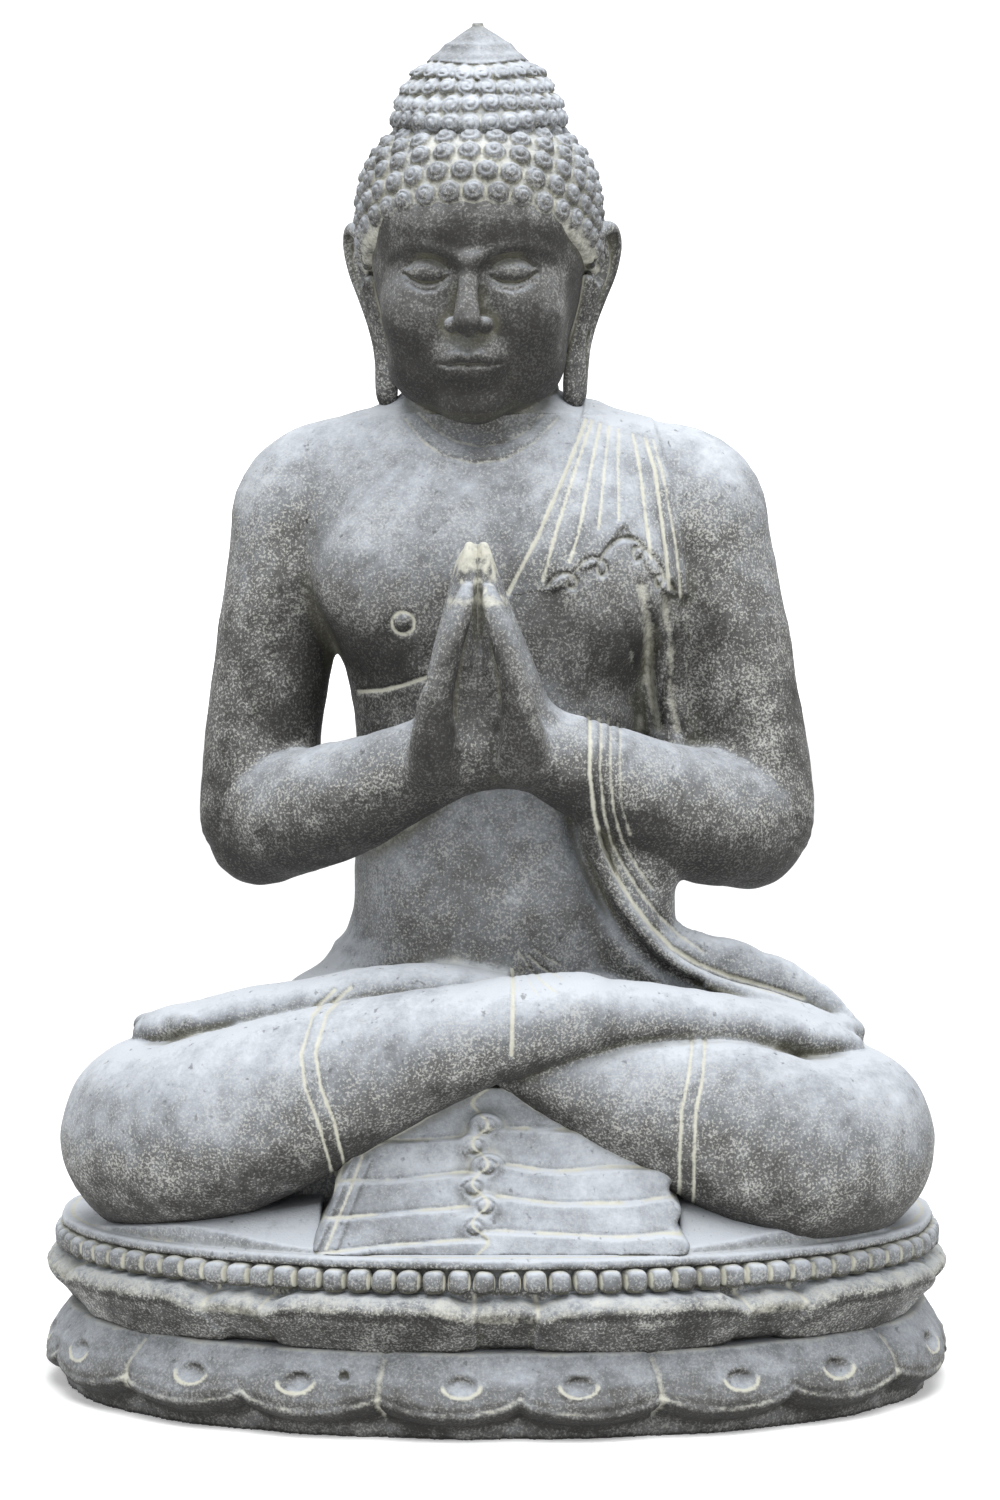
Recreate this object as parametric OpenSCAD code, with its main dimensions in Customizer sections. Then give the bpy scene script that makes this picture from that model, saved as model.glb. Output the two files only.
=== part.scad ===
// Seated praying figure on an oval double-lotus pedestal, sectional cast stone.
// Millimetres, +Z up, the figure faces -Y, origin at the middle of the underside.
// "Right" and "left" are the figure's own: its right hand is on the -X side.

/* [Pedestal] */
// Half width of the pedestal at its widest, along X
ped_a = 333; // [328:1:338]
// Half depth of the pedestal at its widest, along Y
ped_b = 227; // [222:1:232]
// Wall thickness of the two cast pedestal rings
ped_wall = 36; // [30:1:42]
// Thickness of the deck that the figure sits on
deck_t = 32; // [28:1:36]
// Depth of the petal relief
petal_h = 7; // [3:0.5:8]
// Number of large petals on each ring
petals = 9; // [8:1:11]
// Radius of one bead of the border
bead_r = 8.2; // [7:0.1:8.4]
// Number of beads in the border
beads = 98; // [90:2:98]
// Radius of the weep hole at the rear of the lower ring
weep_r = 6; // [4:0.5:8]

/* [Figure] */
// Turn of the head to the figure's right, degrees
head_turn = 5; // [0:1:8]
// Forward bow of the head, degrees
head_bow = 7; // [0:1:9]
// Wall thickness of the hollow torso and hips
body_wall = 25; // [22:1:30]
// Radius of one hair curl
curl_r = 5.5; // [4:0.5:6]

/* [Joints and reinforcement] */
// Thickness of each mortar bed
bed_t = 3; // [2:0.5:4]
// Radius of the threaded centre rod
rod_r = 8; // [6:0.5:10]
// Radius of the drilled hole around the centre rod
rod_hole_r = 9; // [8.5:0.5:11]
// Radius of the arm, leg and pedestal dowels
dowel_r = 5; // [4:0.5:6]
// Radial gap of the adhesive around each dowel
glue_gap = 1; // [0.5:0.25:1.5]

/* [Hidden] */
$fn = 48;

stone = "#7d8188";
stone_dark = "#5f6166";
mortar = "#b9b29c";
steel = "#a9adb2";

z_bed = 60;                    // top of the lower ring
z_up = z_bed + bed_t;          // underside of the upper ring
z_deck = 128;                  // top of the deck
z_seat = z_deck + bed_t;       // underside of the seated figure
z_waist = 300;                 // top of the hips
z_trunk = z_waist + bed_t;     // underside of the torso
z_neck = 716;                  // top of the torso
z_head = z_neck + bed_t;       // underside of the neck
head_o = [-13, -6, 826];       // middle of the skull
BIG = 2000;

// ---------- helpers ----------
function sgnpow(v, p) = (v < 0 ? -1 : 1) * pow(abs(v), p);
function unit(v) = v / max(norm(v), 1e-9);
function cr1(a, b, c, d, t) = 0.5 * ((2 * b) + (c - a) * t + (2 * a - 5 * b + 4 * c - d) * t * t + (3 * b - a - 3 * c + d) * t * t * t);
function clampi(i, n) = max(0, min(n - 1, i));
// a smooth run through stations, k steps between each pair
function smooth(s, k) = [for (i = [0 : len(s) - 2], j = [0 : k - 1])
  cr1(s[clampi(i - 1, len(s))], s[i], s[i + 1], s[clampi(i + 2, len(s))], j / k), s[len(s) - 1]];
// a level ring: superellipse of exponent e
function ell(z, cx, cy, a, b, n, e = 2) = [for (j = [0 : n - 1]) let (f = 360 * (j + 0.5) / n)
  [cx + a * sgnpow(cos(f), 2 / e), cy + b * sgnpow(sin(f), 2 / e), z]];
// rings across a swept path; s holds [x, y, z, half width, half height]
function swept(s, ref, n) = [for (i = [0 : len(s) - 1])
  let (p = s[i], q0 = s[max(i - 1, 0)], q1 = s[min(i + 1, len(s) - 1)],
       t = unit([q1[0] - q0[0], q1[1] - q0[1], q1[2] - q0[2]]), u = unit(cross(ref, t)), v = cross(t, u))
  [for (j = [0 : n - 1]) let (f = 360 * j / n)
    [p[0], p[1], p[2]] + u * max(p[3], 0.8) * cos(f) + v * max(p[4], 0.8) * sin(f)]];
module loft(r) {
  n = len(r[0]); m = len(r);
  polyhedron(points = [for (a = r, p = a) p],
    faces = concat([[for (j = [0 : n - 1]) j]],
      [for (i = [0 : m - 2], j = [0 : n - 1], h = [0, 1]) let (k = (j + 1) % n, a = i * n + j, b = (i + 1) * n + j, c = (i + 1) * n + k, d = i * n + k)
        h == 0 ? [a, b, c] : [a, c, d]],
      [[for (j = [n - 1 : -1 : 0]) (m - 1) * n + j]]), convexity = 10);
}
// a ring of material: the last loop joins back to the first
module ring_loft(r) {
  n = len(r[0]); m = len(r);
  polyhedron(points = [for (a = r, p = a) p],
    faces = [for (i = [0 : m - 1], j = [0 : n - 1], h = [0, 1]) let (k = (j + 1) % n, i2 = (i + 1) % m, a = i * n + j, b = i2 * n + j, c = i2 * n + k, d = i * n + k)
        h == 0 ? [a, b, c] : [a, c, d]], convexity = 10);
}
module limb(s, ref, n = 20, k = 3) loft(swept(smooth(s, k), ref, n));
// joins organic shapes into one mesh before any true bore is cut
module meshed() resize([0, 0, 0]) union() children();
module above(z) translate([-BIG / 2, -BIG / 2, z]) cube(BIG);
module below(z) translate([-BIG / 2, -BIG / 2, z - BIG]) cube(BIG);
module slab(z0, z1) translate([-BIG / 2, -BIG / 2, z0]) cube([BIG, BIG, z1 - z0]);
module rod(p, q, r) {
  d = q - p; L = norm(d);
  translate(p) rotate([0, acos(d[2] / L), atan2(d[1], d[0])]) cylinder(h = L, r = r);
}

// ---------- pedestal ----------
// petal outline: 0 in the clefts, 1 on the crown of a petal
function petal(f, shift) = let (u = abs(((f / 360 * petals + shift) % 1 + 1) % 1 - 0.5) * 2) pow(1 - pow(u, 3), 0.5);
function ped_ring(z, k, h, shift, n = 100) = [for (j = [0 : n - 1]) let (f = 360 * j / n, d = h * petal(f - 270, shift), e = 2.15)
  [(ped_a * k + d) * sgnpow(cos(f), 2 / e), (ped_b * k + d) * sgnpow(sin(f), 2 / e), z]];
function ped_in(z, a, b, n = 100) = [for (j = [0 : n - 1]) let (f = 360 * j / n, e = 2.15) [a * sgnpow(cos(f), 2 / e), b * sgnpow(sin(f), 2 / e), z]];
ia = ped_a - ped_wall - 26;
ib = ped_b - ped_wall - 26;

lower_outer = [[0, 0.885, 0], [6, 0.925, 0.2], [16, 0.955, 0.7], [28, 0.97, 1], [40, 0.965, 0.9], [50, 0.945, 0.5], [z_bed, 0.915, 0]];
module lower_lotus() color(stone_dark) difference() {
  ring_loft(concat([for (q = lower_outer) ped_ring(q[0], q[1], petal_h * q[2], 0.5)],
    [ped_in(z_bed, ia, ib), ped_in(0, ia - 4, ib - 4)]));
  rod([0, ped_b - 90, 24], [0, ped_b + 20, 20], weep_r);
  for (p = ped_pins) translate([p[0], p[1], z_bed - 30]) cylinder(h = 40, r = dowel_r + glue_gap);
}
ped_pins = [[ped_a - 48, 0], [48 - ped_a, 0], [0, ped_b - 46], [0, 46 - ped_b]];
module pedestal_mortar_bed() color(mortar) difference() {
  ring_loft([ped_in(z_bed, ped_a - 34, ped_b - 34, 60), ped_in(z_up, ped_a - 34, ped_b - 34, 60), ped_in(z_up, ia + 4, ib + 4, 60), ped_in(z_bed, ia + 4, ib + 4, 60)]);
  for (p = ped_pins) translate([p[0], p[1], z_bed - 5]) cylinder(h = 20, r = dowel_r + glue_gap);
}
upper_outer = [[z_up, 0.90, 0], [71, 0.94, 0.8], [82, 0.975, 1], [92, 0.995, 0.7], [100, 0.993, 0]];
bead_z = 110;
bead_a = ped_a - 11.5; bead_b = ped_b - 11.5;
module upper_lotus() color(stone) difference() {
  loft(concat([ped_in(z_deck - deck_t, ia - 10, ib - 10), ped_in(z_up, ia, ib)],
    [for (q = upper_outer) ped_ring(q[0], q[1], petal_h * q[2], 0)],
    [ped_in(101, ped_a - 4, ped_b - 4), ped_in(101.5, ped_a - 20, ped_b - 20), ped_in(119, ped_a - 21, ped_b - 21), ped_in(119.5, ped_a - 9, ped_b - 9), ped_in(z_deck, ped_a - 10, ped_b - 10)]));
  translate([0, 0, z_up]) cylinder(h = 90, r = rod_hole_r);
  for (p = ped_pins) translate([p[0], p[1], z_up - 5]) cylinder(h = 5 + 24, r = dowel_r + glue_gap);
  for (p = leg_pins) translate([p[0], p[1], z_deck - 16]) cylinder(h = 30, r = dowel_r + glue_gap);
}
// beads evenly spaced round the oval, set on a ledge at the deck's edge
function bead_pt(f) = let (e = 2.15) [bead_a * sgnpow(cos(f), 2 / e), bead_b * sgnpow(sin(f), 2 / e), bead_z];
bead_run = [for (i = 0, L = 0; i <= 720; L = L + norm(bead_pt((i + 1) / 2) - bead_pt(i / 2)), i = i + 1) [L, i / 2]];
module bead_border() color(stone) for (i = [0 : beads - 1])
  translate(bead_pt(lookup((i + 0.5) * bead_run[720][0] / beads, bead_run))) sphere(r = bead_r);

// stepped fan of folded cloth under the crossed shins; left and right pleats meet on a zigzag spine
pleats = 6;
module pleat(s, i) {
  z0 = z_deck + 0.4; z1 = z_deck + 13 + 17 * i; y1 = -198 + 9.5 * i; w = 142 - 17 * i; m = (i % 2 == 0 ? 5 : -5); e = s * (w - 7);
  polyhedron(points = [[m, y1 - 9, z0], [s * w, y1 + 4, z0], [s * w, -104, z0], [m, -104, z0],
      [m, y1, z1 - 3 + s * m * 0.4], [e, y1 + 11, z1 + 3], [e, -104, z1 + 6], [m, -104, z1 + 4 + s * m * 0.4]],
    faces = s > 0 ? [[0, 1, 2, 3], [4, 7, 6], [4, 6, 5], [0, 4, 5], [0, 5, 1], [1, 5, 6], [1, 6, 2], [2, 6, 7], [2, 7, 3], [3, 7, 4], [3, 4, 0]]
                  : [[3, 2, 1, 0], [6, 7, 4], [5, 6, 4], [5, 4, 0], [1, 5, 0], [6, 5, 1], [2, 6, 1], [7, 6, 2], [3, 7, 2], [4, 7, 3], [0, 4, 3]]);
}
module pleated_cloth() color(stone) meshed() difference() {
  for (i = [0 : pleats - 1], s = [-1, 1]) pleat(s, i);
  leg_solid_right(); leg_solid_left(); hips_solid();
  below(z_seat);
}

// ---------- seated lower body ----------
// [x, y, z, half width, half height] along each leg from hip to knee to ankle
leg_r = [[-70, 60, 196, 58, 58], [-130, 30, 198, 66, 66], [-200, -20, 196, 66, 65], [-241, -66, 194, 62, 63], [-232, -108, 198, 60, 64], [-188, -136, 214, 56, 63], [-124, -152, 238, 50, 58], [-54, -162, 262, 42, 46], [6, -164, 279, 36, 36], [60, -158, 292, 28, 30]];
leg_l = [[70, 60, 196, 58, 58], [130, 30, 198, 66, 66], [200, -20, 196, 66, 65], [243, -66, 192, 62, 62], [238, -106, 192, 60, 62], [204, -132, 196, 54, 61], [136, -146, 222, 46, 52], [72, -148, 242, 36, 36], [16, -140, 254, 20, 18]];
knee_r = [-250, -78, 193]; knee_l = [250, -78, 191];
module leg_solid_right() { limb(leg_r, [0, 0, 1], 20, 2); translate(knee_r) rotate([90, 0, 0]) sphere(r = 64, $fn = 20); }
module leg_solid_left() { limb(leg_l, [0, 0, 1], 20, 2); translate(knee_l) rotate([90, 0, 0]) sphere(r = 62.5, $fn = 20); }
// the feet lie sole-up across the opposite thighs
foot_r = [[10, -160, 286, 30, 29], [60, -152, 294, 30, 27], [110, -138, 290, 30, 24], [160, -118, 282, 30, 22], [205, -96, 272, 30, 19], [240, -78, 264, 26, 15], [256, -70, 260, 12, 8]];
foot_l = [[-20, -100, 300, 24, 16], [-60, -104, 306, 27, 20], [-110, -98, 302, 29, 20], [-160, -88, 293, 30, 19], [-205, -76, 282, 29, 17], [-240, -66, 273, 24, 13], [-256, -62, 269, 10, 6]];
module foot_solid_r() limb(foot_r, [0, 0, 1], 18, 2);
module foot_solid_l() limb(foot_l, [0, 0, 1], 18, 2);
split_x = 10;                  // the two legs meet on this plane
leg_pins = [[-215, -60], [215, -60]];

hip_rings = [[z_seat, 0, 62, 206, 104], [150, 0, 60, 216, 112], [185, 0, 56, 214, 114], [225, 0, 48, 190, 110], [262, 0, 36, 158, 102], [285, 0, 26, 136, 96], [z_waist, 1, 18, 124, 91]];
hip_core = [[z_seat, 0, 60, 206 - body_wall, 104 - body_wall], [200, 0, 54, 200 - body_wall, 108 - body_wall], [250, 0, 40, 164 - body_wall, 100 - body_wall], [z_waist, 1, 18, 122 - body_wall, 90 - body_wall]];
module hips_shell() loft([for (q = smooth(hip_rings, 1)) ell(q[0], q[1], q[2], q[3], q[4], 36)]);
// the solid lap between the belly and the shins
lap_rings = [[z_seat, 0, -45, 178, 82], [190, 0, -45, 178, 82], [240, -1, -41, 166, 78], [272, -3, -35, 148, 70], [288, -4, -29, 108, 56]];
module lap_solid() loft([for (q = lap_rings) ell(q[0], q[1], q[2], q[3], q[4], 30, 2.2)]);
module hips_solid() { hips_shell(); lap_solid(); }
module hips() color(stone) difference() {
  meshed() difference() {
    hips_solid();
    loft([for (i = [0 : len(hip_core) - 1]) let (q = hip_core[i]) ell(q[0] + (i == 0 ? -5 : i == len(hip_core) - 1 ? 5 : 0), q[1], q[2], q[3], q[4], 36)]);
  }
  for (s = [-1, 1]) rod([s * 205, 20, 190], [s * 120, 66, 190], dowel_r + glue_gap);
}
module right_leg() color(stone) difference() {
  meshed() difference() {
    leg_solid_right();
    hips_solid();
    below(z_seat - 2.6);
    translate([split_x, -BIG / 2, 0]) cube(BIG);
    leg_clear_l();
  }
  translate([leg_pins[0][0], leg_pins[0][1], z_deck - 2]) cylinder(h = 50, r = dowel_r + glue_gap);
  rod([-205, 20, 190], [-120, 66, 190], dowel_r + glue_gap);
  rod([-40, -160, 281], [split_x + 5, -160, 286], dowel_r + glue_gap);
  translate([-140, -92, 250]) cylinder(h = 60, r = 3 + glue_gap);
}
module leg_clear_l() foot_solid_l();
module left_leg() color(stone) difference() {
  meshed() difference() {
    leg_solid_left();
    hips_solid();
    below(z_seat - 2.6);
    translate([split_x - BIG, -BIG / 2, 0]) cube(BIG);
    foot_solid_r();
  }
  translate([leg_pins[1][0], leg_pins[1][1], z_deck - 2]) cylinder(h = 50, r = dowel_r + glue_gap);
  rod([205, 20, 190], [120, 66, 190], dowel_r + glue_gap);
  translate([160, -110, 230]) cylinder(h = 60, r = 3 + glue_gap);
}
module right_foot() color(stone) difference() {
  meshed() difference() { foot_solid_r(); translate([split_x - BIG, -BIG / 2, 0]) cube(BIG); hips_solid(); torso_solid(); }
  rod([-40, -160, 281], [60, -160, 291], dowel_r + glue_gap);
  translate([160, -110, 230]) cylinder(h = 56, r = 3 + glue_gap);
}
module left_foot() color(stone) difference() {
  meshed() difference() { foot_solid_l(); hips_solid(); torso_solid(); foot_solid_r(); leg_solid_left(); }
  translate([-140, -92, 250]) cylinder(h = 50, r = 3 + glue_gap);
}
module seat_mortar_bed() color(mortar) difference() {
  loft([ell(z_deck, 0, 62, 202, 100, 36), ell(z_seat, 0, 62, 202, 100, 36)]);
  translate([0, 0, z_deck - 5]) cylinder(h = 20, r = rod_hole_r);
}

// ---------- trunk ----------
// [z, x, y, half width, half depth]
trunk = [[z_trunk - 40, 4, 22, 128, 92], [z_trunk, 3, 16, 122, 89], [335, 2, 11, 112, 85], [370, 1, 8, 107, 82], [410, 0, 6, 107, 81], [460, -1, 4, 110, 82], [510, -2, 3, 116, 85], [560, -4, 4, 124, 87], [605, -5, 6, 136, 87], [640, -6, 9, 152, 82], [668, -7, 12, 162, 72], [690, -7, 15, 156, 62], [706, -8, 17, 130, 52], [z_neck, -9, 18, 86, 44]];
module torso_solid() loft([for (q = smooth(trunk, 1)) ell(q[0], q[1], q[2], q[3], q[4], 40, 2.25)]);
cut_r = -112; cut_l = 102;      // the shoulder joints lie on these planes
module arm_solid_r() { limb(arm_r, [0, -1, 0], 20, 2); translate([-138, 14, 654]) sphere(r = 52, $fn = 16); }
module arm_solid_l() { limb(arm_l, [0, -1, 0], 20, 2); translate([138, 14, 650]) sphere(r = 53, $fn = 16); }
module torso() color(stone) difference() {
  meshed() difference() {
    union() {
      torso_solid();
      intersection() {
        union() { arm_solid_r(); arm_solid_l(); }
        translate([cut_r, -BIG / 2, 530]) cube([cut_l - cut_r, BIG, BIG]);
      }
    }
    below(z_trunk);
    translate([cut_r - BIG, -BIG / 2, 530]) cube(BIG);
    translate([cut_l, -BIG / 2, 530]) cube(BIG);
    loft([for (q = [[z_trunk - 5, 3, 16, 122 - body_wall, 89 - body_wall], [400, 0, 6, 107 - body_wall, 81 - body_wall], [560, -4, 4, 116 - body_wall, 84 - body_wall], [650, -7, 10, 100 - body_wall, 70 - body_wall], [672, -8, 13, 60, 34]]) ell(q[0], q[1], q[2], q[3], q[4], 28)]);
  }
  translate([0, 10, 600]) cylinder(h = 200, r = rod_hole_r);
  translate([0, 10, z_neck - 18]) cylinder(h = 40, r = 20);
  rod([-60, 14, 655], [cut_r - 5, 14, 655], dowel_r + glue_gap);
  rod([50, 14, 652], [cut_l + 5, 14, 652], dowel_r + glue_gap);
}
module waist_mortar_bed() color(mortar) ring_loft([ell(z_waist, 2, 17, 118, 86, 36), ell(z_trunk, 2, 17, 118, 86, 36),
  ell(z_trunk, 2, 17, 122 - body_wall, 90 - body_wall, 36), ell(z_waist, 2, 17, 122 - body_wall, 90 - body_wall, 36)]);
module neck_mortar_bed() color(mortar) difference() {
  loft([ell(z_neck, -10, 16, 50, 40, 32), ell(z_head, -10, 16, 50, 40, 32)]);
  translate([0, 10, z_neck - 5]) cylinder(h = 20, r = rod_hole_r);
}

// ---------- arms and hands ----------
arm_r = [[-100, 14, 690, 12, 14], [-122, 14, 676, 40, 42], [-140, 12, 646, 53, 52], [-149, 10, 616, 51, 51], [-156, 6, 580, 49, 49], [-164, 0, 520, 49, 48], [-171, -6, 466, 49, 47], [-174, -14, 425, 47, 46], [-172, -22, 398, 38, 38], [-170, -28, 382, 22, 22]];
arm_l = [[96, 14, 688, 12, 14], [120, 14, 674, 40, 42], [141, 12, 644, 53, 52], [152, 10, 614, 52, 51], [158, 6, 580, 50, 49], [170, 0, 520, 50, 48], [180, -6, 466, 50, 47], [184, -14, 425, 48, 46], [182, -22, 396, 38, 38], [180, -28, 380, 22, 22]];
fore_r = [[-178, -12, 416, 30, 30], [-168, -24, 420, 44, 45], [-140, -50, 427, 44, 46], [-110, -78, 438, 41, 43], [-78, -100, 452, 36, 38], [-52, -116, 464, 31, 33], [-34, -124, 474, 29, 31]];
fore_l = [[190, -12, 412, 30, 30], [178, -24, 416, 44, 45], [148, -50, 426, 44, 47], [110, -78, 444, 42, 45], [74, -100, 460, 36, 38], [44, -116, 472, 31, 33], [22, -124, 482, 29, 31]];
module fore_solid_r() limb(fore_r, [0, 0, 1], 20, 2);
module fore_solid_l() limb(fore_l, [0, 0, 1], 20, 2);
wrist_x = [-46, 32];
module right_upper_arm() color(stone) difference() {
  meshed() difference() {
    union() { arm_solid_r(); intersection() { torso_solid(); above(560); } }
    translate([cut_r, -BIG / 2, 530]) cube(BIG);
    difference() { torso_solid(); above(530); }
    forearm_end_r();
  }
  rod([-150, 14, 655], [cut_r + 5, 14, 655], dowel_r + glue_gap);
  rod([-168, -10, 422], [-140, -54, 428], dowel_r + glue_gap);
}
module left_upper_arm() color(stone) difference() {
  meshed() difference() {
    union() { arm_solid_l(); intersection() { torso_solid(); above(560); } }
    translate([cut_l - BIG, -BIG / 2, 530]) cube(BIG);
    difference() { torso_solid(); above(530); }
    forearm_end_l();
  }
  rod([142, 14, 652], [cut_l - 5, 14, 652], dowel_r + glue_gap);
  rod([178, -10, 418], [150, -54, 426], dowel_r + glue_gap);
}
// half-spaces in front of (the forearm's side of) each elbow joint
module elbow_side_r(g) translate([-160, -30, 424]) rotate([0, 0, -28]) rotate([-14, 0, 0]) translate([-BIG / 2, -BIG - g, -BIG / 2]) cube(BIG);
module elbow_side_l(g) translate([170, -30, 421]) rotate([0, 0, 28]) rotate([-14, 0, 0]) translate([-BIG / 2, -BIG - g, -BIG / 2]) cube(BIG);
module forearm_end_r() intersection() { fore_solid_r(); elbow_side_r(0); }
module forearm_end_l() intersection() { fore_solid_l(); elbow_side_l(0); }
module right_forearm() color(stone) difference() {
  meshed() difference() {
    intersection() { fore_solid_r(); elbow_side_r(0.4); }
    translate([wrist_x[0], -BIG / 2, 0]) cube(BIG);
    torso_solid();
  }
  rod([-168, -10, 422], [-140, -54, 428], dowel_r + glue_gap);
  rod([-75, -103, 456], [wrist_x[0] + 5, -119, 468], 3 + glue_gap);
}
module left_forearm() color(stone) difference() {
  meshed() difference() {
    intersection() { fore_solid_l(); elbow_side_l(0.4); }
    translate([wrist_x[1] - BIG, -BIG / 2, 0]) cube(BIG);
    torso_solid();
  }
  rod([178, -10, 418], [150, -54, 426], dowel_r + glue_gap);
  rod([60, -106, 466], [wrist_x[1] - 5, -120, 477], 3 + glue_gap);
}
// the two palms pressed together, little fingers forward
hand_rings = [[452, -8, -124, 20, 16], [462, -8, -126, 36, 28], [482, -8, -129, 42, 36], [505, -9, -132, 41, 38], [530, -10, -134, 35, 37], [555, -12, -136, 27, 34], [580, -14, -137, 20, 30], [602, -15, -138, 14, 24], [616, -16, -138, 9, 16], [623, -17, -138, 4, 7]];
palm_x = -12;
module hands_solid() loft([for (q = smooth(hand_rings, 2)) ell(q[0], q[1], q[2], q[3], q[4], 24)]);
module wrist_stub_r() intersection() { limb([[-60, -112, 461, 30, 32], [-40, -121, 470, 29, 31], [-16, -126, 482, 26, 28]], [0, 0, 1], 20, 2); translate([wrist_x[0], -BIG / 2, 0]) cube(BIG); }
module wrist_stub_l() intersection() { limb([[48, -114, 470, 31, 33], [28, -121, 479, 29, 31], [2, -126, 488, 26, 28]], [0, 0, 1], 20, 2); translate([wrist_x[1] - BIG, -BIG / 2, 0]) cube(BIG); }
module right_hand() color(stone_dark) difference() {
  meshed() difference() {
    union() { hands_solid(); wrist_stub_r(); }
    translate([palm_x - 0.2, -BIG / 2, 0]) cube(BIG);
    translate([wrist_x[0] - BIG, -BIG / 2, 0]) cube(BIG);
    torso_solid();
  }
  rod([-75, -103, 456], [-22, -129, 474], 3 + glue_gap);
}
module left_hand() color(stone_dark) difference() {
  meshed() difference() {
    union() { hands_solid(); wrist_stub_l(); }
    translate([palm_x + 0.2 - BIG, -BIG / 2, 0]) cube(BIG);
    translate([wrist_x[1], -BIG / 2, 0]) cube(BIG);
    torso_solid();
  }
  rod([60, -106, 466], [8, -129, 483], 3 + glue_gap);
}

// ---------- robe ----------
// folded shawl lying over the left shoulder: a thin skin on the chest with its hem at the breast
sash_front = [[46, 730], [118, 730], [120, 640], [128, 600], [118, 548], [86, 560], [60, 542], [36, 566], [14, 548], [22, 610]];
module trunk_grown(d) {
  loft([for (q = smooth(trunk, 1)) ell(q[0] + (q[0] > 640 ? d * 0.8 : 0), q[1], q[2], q[3] + d, q[4] + d, 40, 2.25)]);
  limb([for (s = arm_l) [s[0], s[1], s[2], s[3] + d, s[4] + d]], [0, -1, 0], 20, 2);
  translate([138, 14, 650]) sphere(r = 53 + d, $fn = 16);
}
module shoulder_sash() color(stone) meshed() difference() {
  intersection() {
    rotate([90, 0, 0]) translate([0, 0, -200]) linear_extrude(height = 400) polygon(sash_front);
    trunk_grown(7);
  }
  trunk_grown(0.4);
}
// cloth hanging from the left forearm down to the thigh
drape_path = [[80, -112, 415, 24, 7], [88, -102, 385, 30, 8], [98, -88, 350, 38, 9], [116, -72, 322, 46, 10], [142, -58, 300, 46, 10], [176, -46, 280, 36, 9]];
module forearm_drape() color(stone) meshed() difference() {
  limb(drape_path, [0.55, 0.8, 0.1], 18, 2);
  torso_solid();
  hips_solid(); leg_solid_left(); foot_solid_r(); fore_solid_l();
  below(z_trunk - 60);
}

// ---------- head ----------
module head_place() translate(head_o) rotate([0, 0, -head_turn]) rotate([head_bow, 0, 0]) children();
skull = [[-103, -50, 15, 14], [-99, -48, 30, 26], [-86, -38, 47, 46], [-66, -24, 59, 64], [-40, -12, 68, 78], [-10, -5, 74, 86], [20, -2, 76, 88], [50, 0, 76, 88], [75, 2, 68, 80], [92, 3, 54, 66], [104, 3, 34, 44], [108, 3, 14, 18]];
module skull_solid() loft([for (q = smooth(skull, 1)) ell(q[0], 0, q[1], q[2], q[3], 32)]);
module neck_solid() loft([for (q = [[z_head, -10, 17, 74, 46], [z_head + 6, -10, 15, 66, 48], [z_head + 18, -11, 11, 60, 50], [z_head + 45, -12, 7, 58, 53], [z_head + 80, -13, 2, 52, 56]]) ell(q[0], q[1], q[2], q[3], q[4], 32)]);
function cap_ring(z, cy, a, b, n, nc, ph, h) = [for (j = [0 : n - 1]) let (f = 360 * j / n, d = h * (0.45 + 0.55 * cos(360 * (nc * j / n + ph))))
  [(a + d) * cos(f), cy + (b + d) * sin(f), z]];
cap_z = [[-70, 84, 92], [-52, 86, 96], [-34, 88, 97], [-16, 89, 98], [2, 90, 98], [20, 90.5, 98], [38, 90.5, 98], [56, 89, 96], [72, 84, 91], [86, 76, 83], [98, 63, 69]];
// hairline: high over the brow, low at the nape
module hair_zone() translate([0, -96, 50]) rotate([-30, 0, 0]) translate([-BIG / 2, -BIG / 2, 0]) cube(BIG);
module hair_solid() loft([for (i = [0 : len(cap_z) - 2], s = [0, 1]) let (q = cap_z[i], r = cap_z[i + 1], t = s / 2)
    cap_ring(q[0] + (r[0] - q[0]) * t, 2, q[1] + (r[1] - q[1]) * t - (s == 0 ? 3 : 0), q[2] + (r[2] - q[2]) * t - (s == 0 ? 3 : 0), 80, 40, i * 0.5, s == 0 ? 0.5 : 3)]);
module hair_cap() color(stone_dark) difference() {
  meshed() head_place() difference() {
    hair_solid();
    translate([0, -96, 50]) rotate([-30, 0, 0]) translate([-BIG / 2, -BIG / 2, -BIG]) cube(BIG);
    skull_solid();
    above(96);
    topknot_core();
  }
}
module topknot_core() translate([0, 6, 84]) cylinder(h = 40, r = 20.5, $fn = 40);
knot_z = [[0, 66, 68], [10, 64.5, 66.5], [20, 62, 64], [33, 56, 58], [46, 47, 49], [58, 35, 37], [69, 20, 22], [79, 4, 5]];
module topknot_solid() loft([for (i = [0 : len(knot_z) - 2], s = [0, 1]) let (q = knot_z[i], r = knot_z[i + 1], t = s / 2, h = i < 5 ? 3 : 0.5)
    cap_ring(q[0] + (r[0] - q[0]) * t, 6, q[1] + (r[1] - q[1]) * t - 2, q[2] + (r[2] - q[2]) * t - 2, 56, 28, i * 0.5, s == 0 ? 0 : h)]);
module topknot() color(stone_dark) difference() {
  meshed() head_place() difference() {
    union() {
      translate([0, 0, 96.2]) topknot_solid();
      intersection() { translate([0, 6, 84.5]) cylinder(h = 20, r = 20, $fn = 40); above(84.5); }
    }
    skull_solid();
  }
  rod(head_at([0, 6, 60]), head_at([0, 6, 128]), dowel_r + glue_gap);
}
function rx(p, a) = [p[0], p[1] * cos(a) - p[2] * sin(a), p[1] * sin(a) + p[2] * cos(a)];
function rz(p, a) = [p[0] * cos(a) - p[1] * sin(a), p[0] * sin(a) + p[1] * cos(a), p[2]];
function head_at(p) = rz(rx(p, head_bow), -head_turn) + head_o;
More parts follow.
